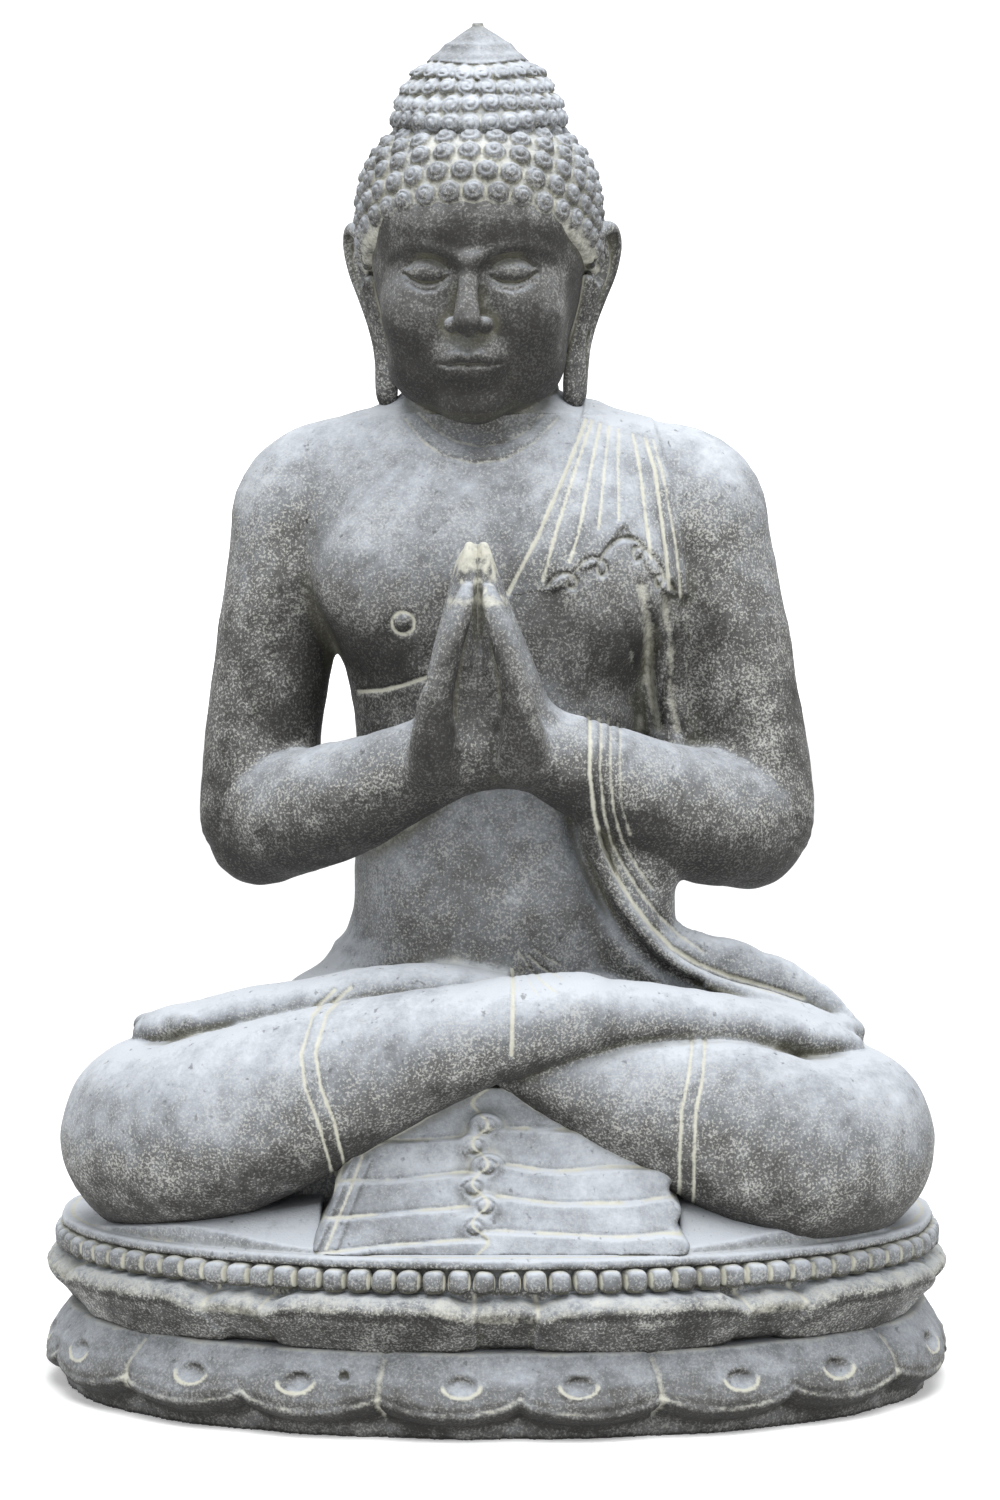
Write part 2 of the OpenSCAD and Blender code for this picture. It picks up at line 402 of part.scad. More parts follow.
module head() color(stone_dark) difference() {
  meshed() union() {
    head_place() skull_solid();
    difference() { neck_solid(); above(z_head + 60); }
  }
  translate([0, 10, z_head - 5]) cylinder(h = 75, r = rod_hole_r);
  rod(head_at([0, 6, 60]), head_at([0, 6, 128]), dowel_r + glue_gap);
}
ear = [[83, 8, 30, 6, 5], [89, 8, 24, 8, 13], [91, 10, 8, 8.5, 18], [87, 9, -8, 8, 16], [80, 6, -30, 7.5, 12], [75, 3, -54, 7.5, 11], [72, 0, -78, 8.5, 12], [71, -1, -94, 8.5, 12], [71, -1, -101, 5, 7]];
module ear_solid(s) limb([for (q = ear) [s * q[0], q[1], q[2], q[3], q[4]]], [0, 1, 0], 12, 1);
module right_ear() color(stone_dark) meshed() difference() { head_place() ear_solid(-1); head_place() skull_solid(); hair_block(); neck_solid(); trunk_all(); }
module left_ear() color(stone_dark) meshed() difference() { head_place() ear_solid(1); head_place() skull_solid(); hair_block(); neck_solid(); trunk_all(); }
module trunk_all() { trunk_grown(7.4); }
module hair_block() head_place() intersection() { hair_solid(); hair_zone(); below(96); }
module forehead_mark() color(stone_dark) meshed() head_place() difference() { translate([0, -86.5, 34]) sphere(r = 5, $fn = 16); skull_solid(); }

// ---------- steel ----------
rod_xy = [0, 10];
rod_bot = z_deck - deck_t - 26;
rod_top = z_head + 58;
module centre_rod() color(steel) translate([rod_xy[0], rod_xy[1], rod_bot]) cylinder(h = rod_top - rod_bot, r = rod_r);
module nut(z) translate([rod_xy[0], rod_xy[1], z]) difference() {
  cylinder(h = 13, r = rod_r * 1.73, $fn = 6);
  translate([0, 0, -1]) cylinder(h = 15, r = rod_r + 0.2);
}
module washer(z, r) translate([rod_xy[0], rod_xy[1], z]) difference() {
  cylinder(h = 3, r = r);
  translate([0, 0, -1]) cylinder(h = 5, r = rod_r + 0.5);
}
module rod_nuts() color(steel) { nut(z_deck - deck_t - 3.4 - 13); nut(z_neck - 14.6); }
module rod_washers() color(steel) { washer(z_deck - deck_t - 3.2, 30); washer(z_neck - 17.8, 18); }
module pedestal_dowels() color(steel) for (p = ped_pins) translate([p[0], p[1], z_bed - 28]) cylinder(h = 52, r = dowel_r);
module leg_dowels() color(steel) {
  for (p = leg_pins) translate([p[0], p[1], z_deck - 15]) cylinder(h = 60, r = dowel_r);
  for (s = [-1, 1]) rod([s * 203, 21, 190], [s * 124, 64, 190], dowel_r);
  rod([-38, -160, 281], [58, -160, 291], dowel_r);
}
module foot_pins() color(steel) {
  translate([160, -110, 232]) cylinder(h = 52, r = 3);
  translate([-140, -92, 252]) cylinder(h = 46, r = 3);
}
module shoulder_dowels() color(steel) {
  rod([-62, 14, 655], [-148, 14, 655], dowel_r);
  rod([52, 14, 652], [140, 14, 652], dowel_r);
}
module elbow_dowels() color(steel) {
  rod([-167, -12, 422.3], [-141, -52, 427.7], dowel_r);
  rod([177, -12, 418.4], [151, -52, 425.7], dowel_r);
}
module wrist_dowels() color(steel) {
  rod([-73, -104, 456.5], [-24, -128, 473.3], 3);
  rod([58, -106.8, 466.5], [10, -128.2, 482.3], 3);
}
module topknot_dowel() color(steel) rod(head_at([0, 6, 62]), head_at([0, 6, 126]), dowel_r);

lower_lotus();
pedestal_mortar_bed();
upper_lotus();
bead_border();
pleated_cloth();
seat_mortar_bed();
hips();
right_leg();
left_leg();
right_foot();
left_foot();
waist_mortar_bed();
torso();
right_upper_arm();
left_upper_arm();
right_forearm();
left_forearm();
right_hand();
left_hand();
shoulder_sash();
forearm_drape();
neck_mortar_bed();
head();
hair_cap();
topknot();
right_ear();
left_ear();
forehead_mark();
centre_rod();
rod_nuts();
rod_washers();
pedestal_dowels();
leg_dowels();
foot_pins();
shoulder_dowels();
elbow_dowels();
wrist_dowels();
topknot_dowel();
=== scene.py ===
import bpy, math
import numpy as np
import openvdb
from concurrent.futures import ThreadPoolExecutor
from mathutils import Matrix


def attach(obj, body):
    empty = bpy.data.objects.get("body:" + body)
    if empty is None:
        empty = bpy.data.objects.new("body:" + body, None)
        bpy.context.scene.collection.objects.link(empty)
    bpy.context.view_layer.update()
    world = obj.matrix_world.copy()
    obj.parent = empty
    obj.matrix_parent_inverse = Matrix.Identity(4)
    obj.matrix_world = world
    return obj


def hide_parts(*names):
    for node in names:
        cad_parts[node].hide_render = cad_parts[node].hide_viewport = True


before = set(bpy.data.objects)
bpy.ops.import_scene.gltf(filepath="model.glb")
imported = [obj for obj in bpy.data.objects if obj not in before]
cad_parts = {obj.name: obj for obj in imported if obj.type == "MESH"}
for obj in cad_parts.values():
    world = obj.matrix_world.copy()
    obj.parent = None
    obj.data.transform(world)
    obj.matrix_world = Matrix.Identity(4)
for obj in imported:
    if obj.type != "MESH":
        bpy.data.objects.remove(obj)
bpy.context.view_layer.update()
F = np.float32

# ------------------------------------------------------------------ field tools (millimetres)
def smin(a, b, k):
    h = np.clip(0.5 + 0.5 * (b - a) / k, 0, 1)
    return b + (a - b) * h - k * h * (1 - h)

def smax(a, b, k):
    return -smin(-a, -b, k)

def catmull(st, k):
    st = np.asarray(st, float)
    n = len(st)
    out = []
    for i in range(n - 1):
        a, b, c, d = st[max(i - 1, 0)], st[i], st[i + 1], st[min(i + 2, n - 1)]
        for j in range(k):
            t = j / k
            out.append(0.5 * ((2 * b) + (c - a) * t + (2 * a - 5 * b + 4 * c - d) * t * t + (3 * b - a - 3 * c + d) * t ** 3))
    out.append(st[-1])
    return np.array(out)

FAR = 70.0
MARGIN = 48.0

class Prim:
    lo = hi = None
    def __call__(self, P):
        m = np.all((P > self.lo - MARGIN) & (P < self.hi + MARGIN), axis=1)
        out = np.full(len(P), FAR, F)
        if m.any():
            out[m] = self.ev(P[m] if not m.all() else P)
        return out

class Tube(Prim):
    """swept ellipse; stations [x, y, z, half width along u, half height along v]"""
    def __init__(s, st, ref=(0, 0, 1), k=4):
        S = catmull(st, k)
        s.p = S[:, :3].astype(F)
        s.a = np.maximum(S[:, 3], 0.5).astype(F)
        s.b = np.maximum(S[:, 4] if S.shape[1] > 4 else S[:, 3], 0.5).astype(F)
        t = np.gradient(s.p, axis=0)
        t /= np.linalg.norm(t, axis=1)[:, None]
        u = np.cross(np.asarray(ref, float), t)
        u /= np.maximum(np.linalg.norm(u, axis=1), 1e-6)[:, None]
        s.t, s.u, s.v = t.astype(F), u.astype(F), np.cross(t, u).astype(F)
        r = np.maximum(s.a, s.b)[:, None]
        s.lo, s.hi = (s.p - r).min(0), (s.p + r).max(0)
    def ev(s, P):
        best = np.full(len(P), 1e9, F)
        par = np.zeros(len(P), F)
        for i in range(len(s.p) - 1):
            ba = s.p[i + 1] - s.p[i]
            w = P - s.p[i]
            h = np.clip(w @ ba / max(float(ba @ ba), 1e-9), 0, 1)
            q = w - h[:, None] * ba
            d2 = np.einsum("ij,ij->i", q, q)
            m = d2 < best
            best[m] = d2[m]
            par[m] = i + h[m]
        i0 = np.minimum(par.astype(int), len(s.p) - 2)
        f = (par - i0)[:, None]
        lerp = lambda A: A[i0] * (1 - f) + A[i0 + 1] * f
        c, u, v, t = lerp(s.p), lerp(s.u), lerp(s.v), lerp(s.t)
        f = f[:, 0]
        a = s.a[i0] * (1 - f) + s.a[i0 + 1] * f
        b = s.b[i0] * (1 - f) + s.b[i0 + 1] * f
        q = P - c
        r = np.sqrt(np.einsum("ij,ij->i", q, q)) + 1e-6
        du = np.einsum("ij,ij->i", q, u) / a
        dv = np.einsum("ij,ij->i", q, v) / b
        dt = np.einsum("ij,ij->i", q, t) / np.minimum(a, b)
        kk = np.sqrt(du * du + dv * dv + dt * dt) + 1e-6
        return np.where(kk < 0.05, -np.minimum(a, b), r - r / kk).astype(F)

class Ell(Prim):
    """ellipsoid, optionally rotated about Z then X (degrees)"""
    def __init__(s, c, r, rz=0.0, rx=0.0, ry=0.0):
        s.c, s.r = np.asarray(c, F), np.asarray(r, F)
        a, b, g = math.radians(rz), math.radians(rx), math.radians(ry)
        Rz = np.array([[math.cos(a), -math.sin(a), 0], [math.sin(a), math.cos(a), 0], [0, 0, 1]])
        Rx = np.array([[1, 0, 0], [0, math.cos(b), -math.sin(b)], [0, math.sin(b), math.cos(b)]])
        Ry = np.array([[math.cos(g), 0, math.sin(g)], [0, 1, 0], [-math.sin(g), 0, math.cos(g)]])
        s.R = (Rz @ Rx @ Ry).astype(F)
        m = max(r)
        s.lo, s.hi = s.c - m, s.c + m
    def ev(s, P):
        q = ((P - s.c) @ s.R) / s.r
        k0 = np.sqrt((q * q).sum(1))
        q = q / s.r
        k1 = np.sqrt((q * q).sum(1)) + 1e-9
        return (k0 * (k0 - 1) / k1).astype(F)

class Loft(Prim):
    """level ellipses [z, cx, cy, a, b_front, b_back]"""
    def __init__(s, rows, e=2.0, k=6, cap=6.0):
        R = catmull(rows, k)
        o = np.argsort(R[:, 0])
        s.T = R[o]
        s.e, s.cap = e, cap
        m = (s.T[:, 3] + np.maximum(s.T[:, 4], s.T[:, 5])) / 2
        s.slope = np.gradient(m, np.maximum.accumulate(s.T[:, 0]) + np.arange(len(m)) * 1e-4)
        s.slope = np.clip(s.slope, -3, 3)
        s.lo = np.array([(s.T[:, 1] - s.T[:, 3]).min(), (s.T[:, 2] - s.T[:, 4]).min(), s.T[0, 0]])
        s.hi = np.array([(s.T[:, 1] + s.T[:, 3]).max(), (s.T[:, 2] + s.T[:, 5]).max(), s.T[-1, 0]])
    def ev(s, P):
        z = P[:, 2]
        g = lambda i: np.interp(z, s.T[:, 0], s.T[:, i]).astype(F)
        cx, cy, a, bf, bb = g(1), g(2), g(3), g(4), g(5)
        x, y = P[:, 0] - cx, P[:, 1] - cy
        b = np.where(y < 0, bf, bb)
        e = s.e
        kk = (np.abs(x / a) ** e + np.abs(y / b) ** e) ** (1 / e) + 1e-6
        r = np.hypot(x, y) + 1e-6
        d = r - r / kk
        sl = np.interp(z, s.T[:, 0], s.slope)
        d = np.where(kk < 0.05, -np.minimum(a, b), d) / np.sqrt(1 + sl * sl)
        dz = np.maximum(s.T[0, 0] - z, z - s.T[-1, 0])
        return smax(d, dz, s.cap).astype(F)

def sd_poly(x, z, pts):
    """signed distance to a closed 2-D polygon, negative inside"""
    pts = np.asarray(pts, F)
    d = np.full(len(x), 1e9, F)
    s = np.ones(len(x), F)
    n = len(pts)
    for i in range(n):
        a, b = pts[i], pts[i - 1]
        ex, ez = b - a
        wx, wz = x - a[0], z - a[1]
        h = np.clip((wx * ex + wz * ez) / (ex * ex + ez * ez), 0, 1)
        d = np.minimum(d, (wx - ex * h) ** 2 + (wz - ez * h) ** 2)
        c1, c2, c3 = z >= a[1], z < b[1], ex * wz > ez * wx
        flip = (c1 & c2 & c3) | (~c1 & ~c2 & ~c3)
        s = np.where(flip, -s, s)
    return s * np.sqrt(d)

def line_dist(x, z, pts, lim):
    """distance to an open 2-D line, 1e3 where further than lim"""
    pts = np.asarray(pts, F)
    out = np.full(len(x), 1e3, F)
    m = (x > pts[:, 0].min() - lim) & (x < pts[:, 0].max() + lim) & (z > pts[:, 1].min() - lim) & (z < pts[:, 1].max() + lim)
    if not m.any():
        return out
    xm, zm = x[m], z[m]
    d = np.full(len(xm), 1e6, F)
    for a, b in zip(pts[:-1], pts[1:]):
        ex, ez = b - a
        wx, wz = xm - a[0], zm - a[1]
        h = np.clip((wx * ex + wz * ez) / max(float(ex * ex + ez * ez), 1e-9), 0, 1)
        d = np.minimum(d, (wx - ex * h) ** 2 + (wz - ez * h) ** 2)
    out[m] = np.sqrt(d)
    return out

rng = np.random.default_rng(7)
_W = [(rng.normal(size=(10, 3)), rng.uniform(0, 6.28, 10)) for _ in range(4)]
def waves(P, scale, which=0):
    """smooth repeatable unevenness, about -1..1"""
    D, ph = _W[which]
    s = np.zeros(len(P), F)
    for i in range(10):
        k = D[i] / np.linalg.norm(D[i]) * (6.283 / (scale * (0.7 + 0.09 * i)))
        s += np.sin(P @ k.astype(F) + F(ph[i]))
    return s / 4.0

def sstep(a, b, x):
    t = np.clip((x - a) / (b - a), 0, 1)
    return t * t * (3 - 2 * t)

# ------------------------------------------------------------------ meshing
POOL = 4
def mesh_of(field, lo, hi, h):
    B = 8
    h = h * 1.0
    i0 = np.floor(np.asarray(lo) / h).astype(int) - 2
    i1 = np.ceil(np.asarray(hi) / h).astype(int) + 2
    nb = -(-(i1 - i0) // B)
    dims = nb * B
    arr = np.full(tuple(dims), 3 * h, F)
    bi = np.stack(np.meshgrid(*[np.arange(n) for n in nb], indexing="ij"), -1).reshape(-1, 3)
    centre = ((bi * B + (B - 1) / 2 + i0) * h).astype(F)
    dc = np.concatenate([field(centre[i:i + 60000]) for i in range(0, len(centre), 60000)])
    half = 0.5 * math.sqrt(3) * B * h
    act = np.abs(dc) < half * 1.35 + 4
    for b in bi[(~act) & (dc < 0)]:
        x, y, z = b * B
        arr[x:x + B, y:y + B, z:z + B] = -3 * h
    off = np.stack(np.meshgrid(*[np.arange(B)] * 3, indexing="ij"), -1).reshape(-1, 3)
    A = bi[act]
    step = 500
    def work(j):
        bb = A[j:j + step]
        idx = (bb[:, None, :] * B + off[None]).reshape(-1, 3)
        d = field(((idx + i0) * h).astype(F))
        return idx, d
    for j in range(0, len(A), step):
        idx, d = work(j)
        arr[idx[:, 0], idx[:, 1], idx[:, 2]] = np.clip(d, -3 * h, 3 * h)
    g = openvdb.FloatGrid(3 * h)
    g.copyFromArray(arr)
    pts, quads = g.convertToQuads(0.0)
    pts = (np.asarray(pts, float) + i0) * h
    return pts, np.asarray(quads), field, h

def gradient(field, P, e):
    g = np.empty((len(P), 3), F)
    for a in range(3):
        o = np.zeros(3, F); o[a] = e
        g[:, a] = field(P + o) - field(P - o)
    n = np.linalg.norm(g, axis=1)[:, None]
    return g / np.maximum(n, 1e-6)

def chunks(fn, P, n=120000):
    return np.concatenate([fn(P[i:i + n]) for i in range(0, len(P), n)]) if len(P) else np.zeros(0, F)

# ------------------------------------------------------------------ the figure's masses
def soft(*ds, k=14):
    d = ds[0]
    for e in ds[1:]:
        d = smin(d, e, k)
    return d

trunk = Loft([[262, 2, 22, 178, 118, 96], [290, 2, 20, 150, 112, 96], [312, 1, 18, 124, 105, 92], [345, 1, 14, 110, 98, 88], [385, 0, 10, 106, 92, 84],
              [430, 0, 7, 105, 88, 84], [480, 0, 5, 105, 86, 86], [530, -1, 4, 112, 86, 90], [580, -4, 5, 130, 88, 94], [625, -5, 8, 150, 86, 93],
              [660, -6, 11, 160, 80, 86], [688, -7, 14, 156, 68, 74], [704, -8, 16, 138, 58, 63], [716, -9, 17, 104, 52, 55], [724, -10, 17, 74, 50, 52]], e=2.3, cap=10)
web_l = Tube([[118, 2, 610, 22, 40], [124, -4, 560, 20, 38], [127, -8, 510, 19, 36], [129, -12, 460, 18, 34], [128, -14, 420, 14, 28]], ref=(0, -1, 0))
pec_r = Ell((-64, -48, 596), (64, 36, 54), rz=8)
pec_l = Ell((56, -48, 594), (66, 36, 56), rz=-8)
belly = Ell((0, -48, 372), (84, 48, 84))
trap = Tube([[-108, 18, 684, 26, 24], [-60, 20, 698, 30, 29], [-12, 20, 710, 40, 34], [38, 20, 701, 30, 29], [90, 18, 689, 26, 24]], ref=(0, 0, 1))
neck = Loft([[690, -10, 17, 80, 52, 54], [708, -10, 17, 66, 49, 52], [722, -11, 16, 60, 47, 52], [745, -12, 13, 55, 45, 54], [775, -13, 8, 53, 45, 56], [800, -13, 4, 50, 44, 56]], cap=4)
neck_fold = Tube([[-66, -6, 712, 5, 5], [-50, -30, 700, 5, 6], [-28, -44, 690, 5, 6], [-10, -48, 686, 5, 6], [10, -45, 690, 5, 6], [32, -32, 700, 5, 6], [46, -8, 713, 5, 5]])
sh_r = Ell((-136, 14, 652), (54, 52, 55))
sh_l = Ell((140, 14, 650), (55, 53, 55))
arm_r = Tube([[-128, 14, 672, 34, 36], [-143, 12, 640, 50, 50], [-154, 8, 598, 47, 48], [-164.5, 2, 545, 44, 46], [-172.5, -4, 492, 43, 45], [-176, -10, 448, 43, 46], [-177, -16, 420, 43, 44], [-175, -20, 406, 36, 38]], ref=(0, -1, 0))
arm_l = Tube([[130, 14, 670, 34, 36], [146, 12, 638, 51, 50], [158, 8, 598, 50, 50], [170, 2, 545, 48, 48], [180, -4, 490, 47, 47], [187, -10, 445, 47, 48], [189, -16, 420, 45, 46], [186, -20, 404, 37, 39]], ref=(0, -1, 0))
fore_r = Tube([[-176, -14, 420, 40, 42], [-160, -34, 423, 44, 46], [-132, -60, 431, 42, 44], [-98, -88, 444, 38, 40], [-66, -108, 459, 33, 35], [-40, -120, 471, 29, 32], [-22, -126, 480, 28, 30]])
fore_l = Tube([[189, -14, 417, 42, 42], [172, -34, 419, 47, 48], [142, -60, 426, 45, 48], [106, -86, 442, 39, 42], [72, -106, 458, 34, 37], [42, -120, 472, 30, 33], [20, -126, 482, 28, 30]])

# joined hands: each hand is a leaning slab with its little-finger side forward
PX = -13.5
hand_rows = [[450, -8, -120, 18, 14, 14], [460, -8, -123, 36, 20, 22], [480, -8, -127, 48, 25, 27], [500, -8, -131, 48, 26, 29], [520, -9.5, -133, 43, 26, 30], [542, -11, -135, 36.5, 25, 29], [565, -13, -136, 29, 24, 27], [584, -14, -137, 22.5, 22, 25], [602, -15, -138, 16.5, 18, 20], [614, -15.5, -138, 12.5, 13, 15], [624, -15.5, -138, 6, 7, 8]]
hands = Loft(hand_rows, e=2.2, cap=4)
def ridge(s):
    return Tube([[PX + s * 7.5, -160, 590, 6.5, 6.5], [PX + s * 10, -166, 580, 8.5, 8.5], [PX + s * 16.5, -170, 562, 9, 9], [PX + s * 24, -171, 534, 9.5, 9.5], [PX + s * 29, -167, 512, 12, 12], [PX + s * 31, -158, 490, 16, 16], [PX + s * 31, -146, 468, 18, 17]], ref=(0, -1, 0))
ridge_r, ridge_l = ridge(-1), ridge(1)
tip_r = Tube([[PX - 6.5, -146, 590, 7, 8], [PX - 6.5, -147, 612, 6.5, 7], [PX - 6, -146, 622, 4, 4.5]], ref=(0, -1, 0))
tip_l = Tube([[PX + 5.5, -146, 590, 7, 8], [PX + 5.0, -147, 612, 6.5, 7], [PX + 4.0, -146, 622, 4, 4.5]], ref=(0, -1, 0))

hips_b = Loft([[128, 0, 62, 196, 100, 96], [150, 0, 60, 210, 108, 104], [185, 0, 56, 214, 110, 108], [225, 0, 48, 196, 108, 106], [262, 0, 36, 164, 104, 100], [290, 0, 26, 140, 100, 96], [320, 1, 18, 120, 96, 90]], cap=4)
lap = Loft([[128, 0, -46, 190, 86, 80], [200, 0, -46, 190, 86, 80], [250, -1, -42, 182, 84, 80], [280, -2, -38, 168, 80, 80], [300, -2, -30, 150, 66, 70], [312, -2, -22, 126, 44, 50]], cap=6)
leg_r = Tube([[-70, 60, 196, 58, 58], [-130, 30, 198, 66, 66], [-200, -20, 198, 66, 66], [-241, -62, 196, 64, 66], [-235, -106, 196, 62, 66], [-197, -134, 209, 58, 66], [-140, -150, 233, 52, 60], [-80, -160, 257, 44, 49], [-30, -164, 273, 38, 40], [14, -165, 284, 33, 35], [60, -160, 292, 28, 30]])
leg_l = Tube([[70, 60, 196, 58, 58], [130, 30, 198, 66, 66], [200, -20, 198, 66, 66], [243, -62, 192, 64, 66], [243, -104, 188, 62, 66], [213, -132, 190, 58, 66], [158, -146, 212, 50, 60], [98, -150, 230, 40, 46], [46, -146, 243, 28, 30], [16, -140, 250, 20, 20]])
knee_r = Ell((-250, -76, 192), (66, 64, 67))
knee_l = Ell((249, -76, 187), (66, 64, 67))
foot_r = Tube([[8, -164, 286, 32, 32], [50, -158, 291, 31, 28], [92, -146, 289, 29, 25], [135, -130, 284, 28, 23], [175, -114, 277, 28, 21], [210, -98, 270, 27, 18], [238, -86, 264, 25, 14], [256, -80, 260, 16, 9]])
foot_l = Tube([[0, -108, 296, 26, 18], [-45, -112, 302, 27, 20], [-90, -112, 300, 28, 20], [-135, -106, 292, 29, 19], [-175, -98, 285, 29, 19], [-210, -88, 278, 29, 17], [-238, -80, 272, 27, 15], [-254, -75, 268, 16, 10]])
toes_r = [Ell((226 + 7.5 * i, -104 + 11 * i, 272 - 1.5 * i), (13, 8.5, 8.5), rz=24) for i in range(5)]
toes_l = [Ell((-226 - 6.5 * i, -108 + 11 * i, 279 - 2.0 * i), (15, 8.8, 10.0), rz=-24) for i in range(5)]

drape = Tube([[92, -84, 432, 30, 26], [97, -76, 400, 34, 30], [99, -66, 365, 30, 30], [103, -62, 336, 30, 30], [122, -58, 312, 36, 28], [156, -52, 296, 42, 22], [192, -46, 285, 40, 18], [222, -48, 277, 32, 14], [246, -54, 267, 22, 9], [256, -58, 262, 12, 5]], ref=(0.3, 1, 0.15))

drape_ridge = Tube([[61, -122, 496, 4, 4], [61, -126, 462, 5, 5], [64, -120, 432, 6, 6], [70, -112, 405, 6.5, 6.5], [80, -104, 384, 7, 7], [92, -98, 362, 7.5, 7.5], [106, -94, 342, 7.5, 7.5], [122, -92, 325, 7, 7], [142, -90, 312, 6.5, 6.5], [166, -86, 302, 6, 6], [200, -80, 293, 5.5, 5.5], [230, -76, 281, 5, 5], [254, -68, 268, 3.5, 3.5]])
RIDGE_XZ = [(61, 496), (61, 462), (64, 432), (70, 405), (80, 384), (92, 362), (106, 342), (122, 325), (142, 312), (166, 302), (200, 293), (226, 285)]

# lines cut from the front, drawn in X and Z
LINES = [
 # pleats of the shawl on the left shoulder
 (((66, 716), (50, 676), (29, 628), (8, 588)), 1.6, 1.5, 1.0),
 (((71, 717), (57, 678), (43, 634), (33, 597)), 1.4, 1.2, 0.9),
 (((77, 717), (68, 678), (59, 632), (52, 610)), 1.4, 1.2, 0.9),
 (((83, 717), (78, 678), (73, 634)), 1.3, 1.1, 0.8),
 (((89, 717), (88, 678), (88, 640)), 1.3, 1.1, 0.8),
 (((97, 717), (104, 676), (111, 612)), 1.4, 1.2, 0.9),
 (((104, 716), (115, 676), (122, 620), (125, 590)), 1.6, 1.5, 1.0),
 (((110, 715), (121, 672), (130, 622), (134, 584)), 1.3, 1.0, 0.7),
 # collar creases
 (((-70, 717), (-56, 699), (-40, 687), (-17, 681), (6, 684), (28, 697), (44, 714)), 1.4, 1.2, 0.45),
 (((-58, 718), (-44, 705), (-30, 697), (-12, 693), (6, 696), (22, 705), (33, 717)), 1.3, 1.0, 0.4),
 # folded zigzag hem
 (tuple(map(tuple, catmull([(36, 592), (41, 599), (50, 602), (57, 597), (55, 591), (50, 594), (57, 604), (65, 612), (75, 612), (79, 604), (74, 600), (72, 608), (80, 620), (90, 627), (101, 625), (106, 616), (100, 611), (99, 620), (108, 618), (117, 608), (121, 597), (116, 591), (115, 599), (122, 598), (129, 588)], 4))), 1.5, 2.8, 0.45),
 # belt hem under the right breast
 (((-102, 514), (-84, 516), (-66, 521), (-50, 527)), 1.6, 1.6, 1.0),
 # vertical folds by the left armpit
 (((104, 592), (110, 560), (112, 520), (118, 488)), 5.0, 3.0, 0.5),
 (((121, 585), (127, 550), (127, 510), (132, 486)), 4.0, 2.0, 0.4),
 (((92, 570), (98, 540), (97, 505)), 3.0, 1.2, 0.2),
 # double hems on the shins and the robe's vertical hem
 (((-116, 306), (-130, 292), (-137, 268), (-134, 246), (-124, 218), (-118, 190), (-116, 168)), 1.4, 1.3, 0.85),
 (((-104, 308), (-120, 294), (-127, 270), (-123, 246), (-114, 222), (-109, 194), (-107, 170)), 1.4, 1.3, 0.85),
 (((138, 272), (134, 250), (129, 228), (128, 196), (129, 158)), 1.4, 1.3, 0.85),
 (((147, 272), (144, 250), (139, 228), (138, 196), (139, 156)), 1.4, 1.3, 0.85),
 (((11, 318), (11, 300), (10, 268)), 1.6, 1.6, 1.0),
 # star-like chisel marks on the sash's end
 (((22, 326), (32, 317), (42, 310)), 1.2, 0.9, 0.6), (((26, 331), (36, 324), (46, 318)), 1.1, 0.7, 0.5), (((17, 327), (24, 315), (29, 308)), 1.1, 0.8, 0.5), (((15, 330), (16, 320), (15, 312)), 1.0, 0.7, 0.45),
]
DRAPE_LINES = [
 (((66, 497), (65.5, 462), (69, 432), (75, 407), (85, 386), (97, 366), (111, 347), (126, 331), (145, 319), (168, 309), (200, 299), (224, 291)), 1.6, 1.6, 0.85),
 (((74, 496), (73, 462), (76, 432), (82, 409), (92, 390), (104, 371), (118, 353), (132, 339), (150, 327)), 1.5, 1.3, 0.6),
 (((81, 495), (80, 462), (83, 434), (89, 412), (99, 394), (111, 376)), 1.5, 1.2, 0.55),
 (((88, 492), (87, 462), (89, 436), (95, 416)), 1.4, 1.0, 0.45),
]
SASH = [(66, 730), (112, 730), (126, 672), (136, 622), (140, 584), (122, 586), (108, 606), (100, 622), (92, 636), (80, 622), (72, 608), (60, 604), (50, 592), (34, 588), (6, 584), (28, 628), (50, 676)]

def front_detail(P, want_dep=False):
    """carving depth (positive cuts) and pale deposit, for lines cut into the front"""
    cut = np.zeros(len(P), F)
    dep = np.zeros(len(P), F)
    x, y, z = P[:, 0], P[:, 1], P[:, 2]
    ok = (y < 12) & (z > 130) & (z < 735)
    if ok.any():
        xo, zo, yo = x[ok], z[ok], y[ok]
        c, d = cut[ok], dep[ok]
        for pts, w, dp, a in LINES:
            zz = np.asarray(pts, float)
            lim = w * 4 + 2
            q = line_dist(xo, zo, zz, lim)
            if zz[:, 1].max() > 320:
                m = yo < -28
            else:
                m = yo < -96
            g = np.exp(-(q / w) ** 2) * m
            c = np.maximum(c, dp * g)
            if want_dep:
                d = np.maximum(d, a * np.exp(-(q / (w * 0.95)) ** 2) * m)
        cut[ok], dep[ok] = c, d
    return (cut, dep) if want_dep else cut

def sash_relief(P):
    x, y, z = P[:, 0], P[:, 1], P[:, 2]
    out = np.zeros(len(P), F)
    m = (z > 575) & (z < 740) & (x > -5) & (x < 150)
    if m.any():
        zz = np.minimum(z[m], 722)
        q = sd_poly(x[m], np.where(y[m] > 10, np.maximum(zz, 640 - 0 * zz), zz), SASH)
        fade = 1 - sstep(42, 30, x[m]) * sstep(620, 588, z[m])
        out[m] = 2.2 * sstep(1.2, -1.2, q) * fade
    return out

GROUPS = ["torso", "right_upper_arm", "left_upper_arm", "right_forearm", "left_forearm", "right_hand", "left_hand", "hips", "right_leg", "left_leg", "right_foot", "left_foot", "forearm_drape"]

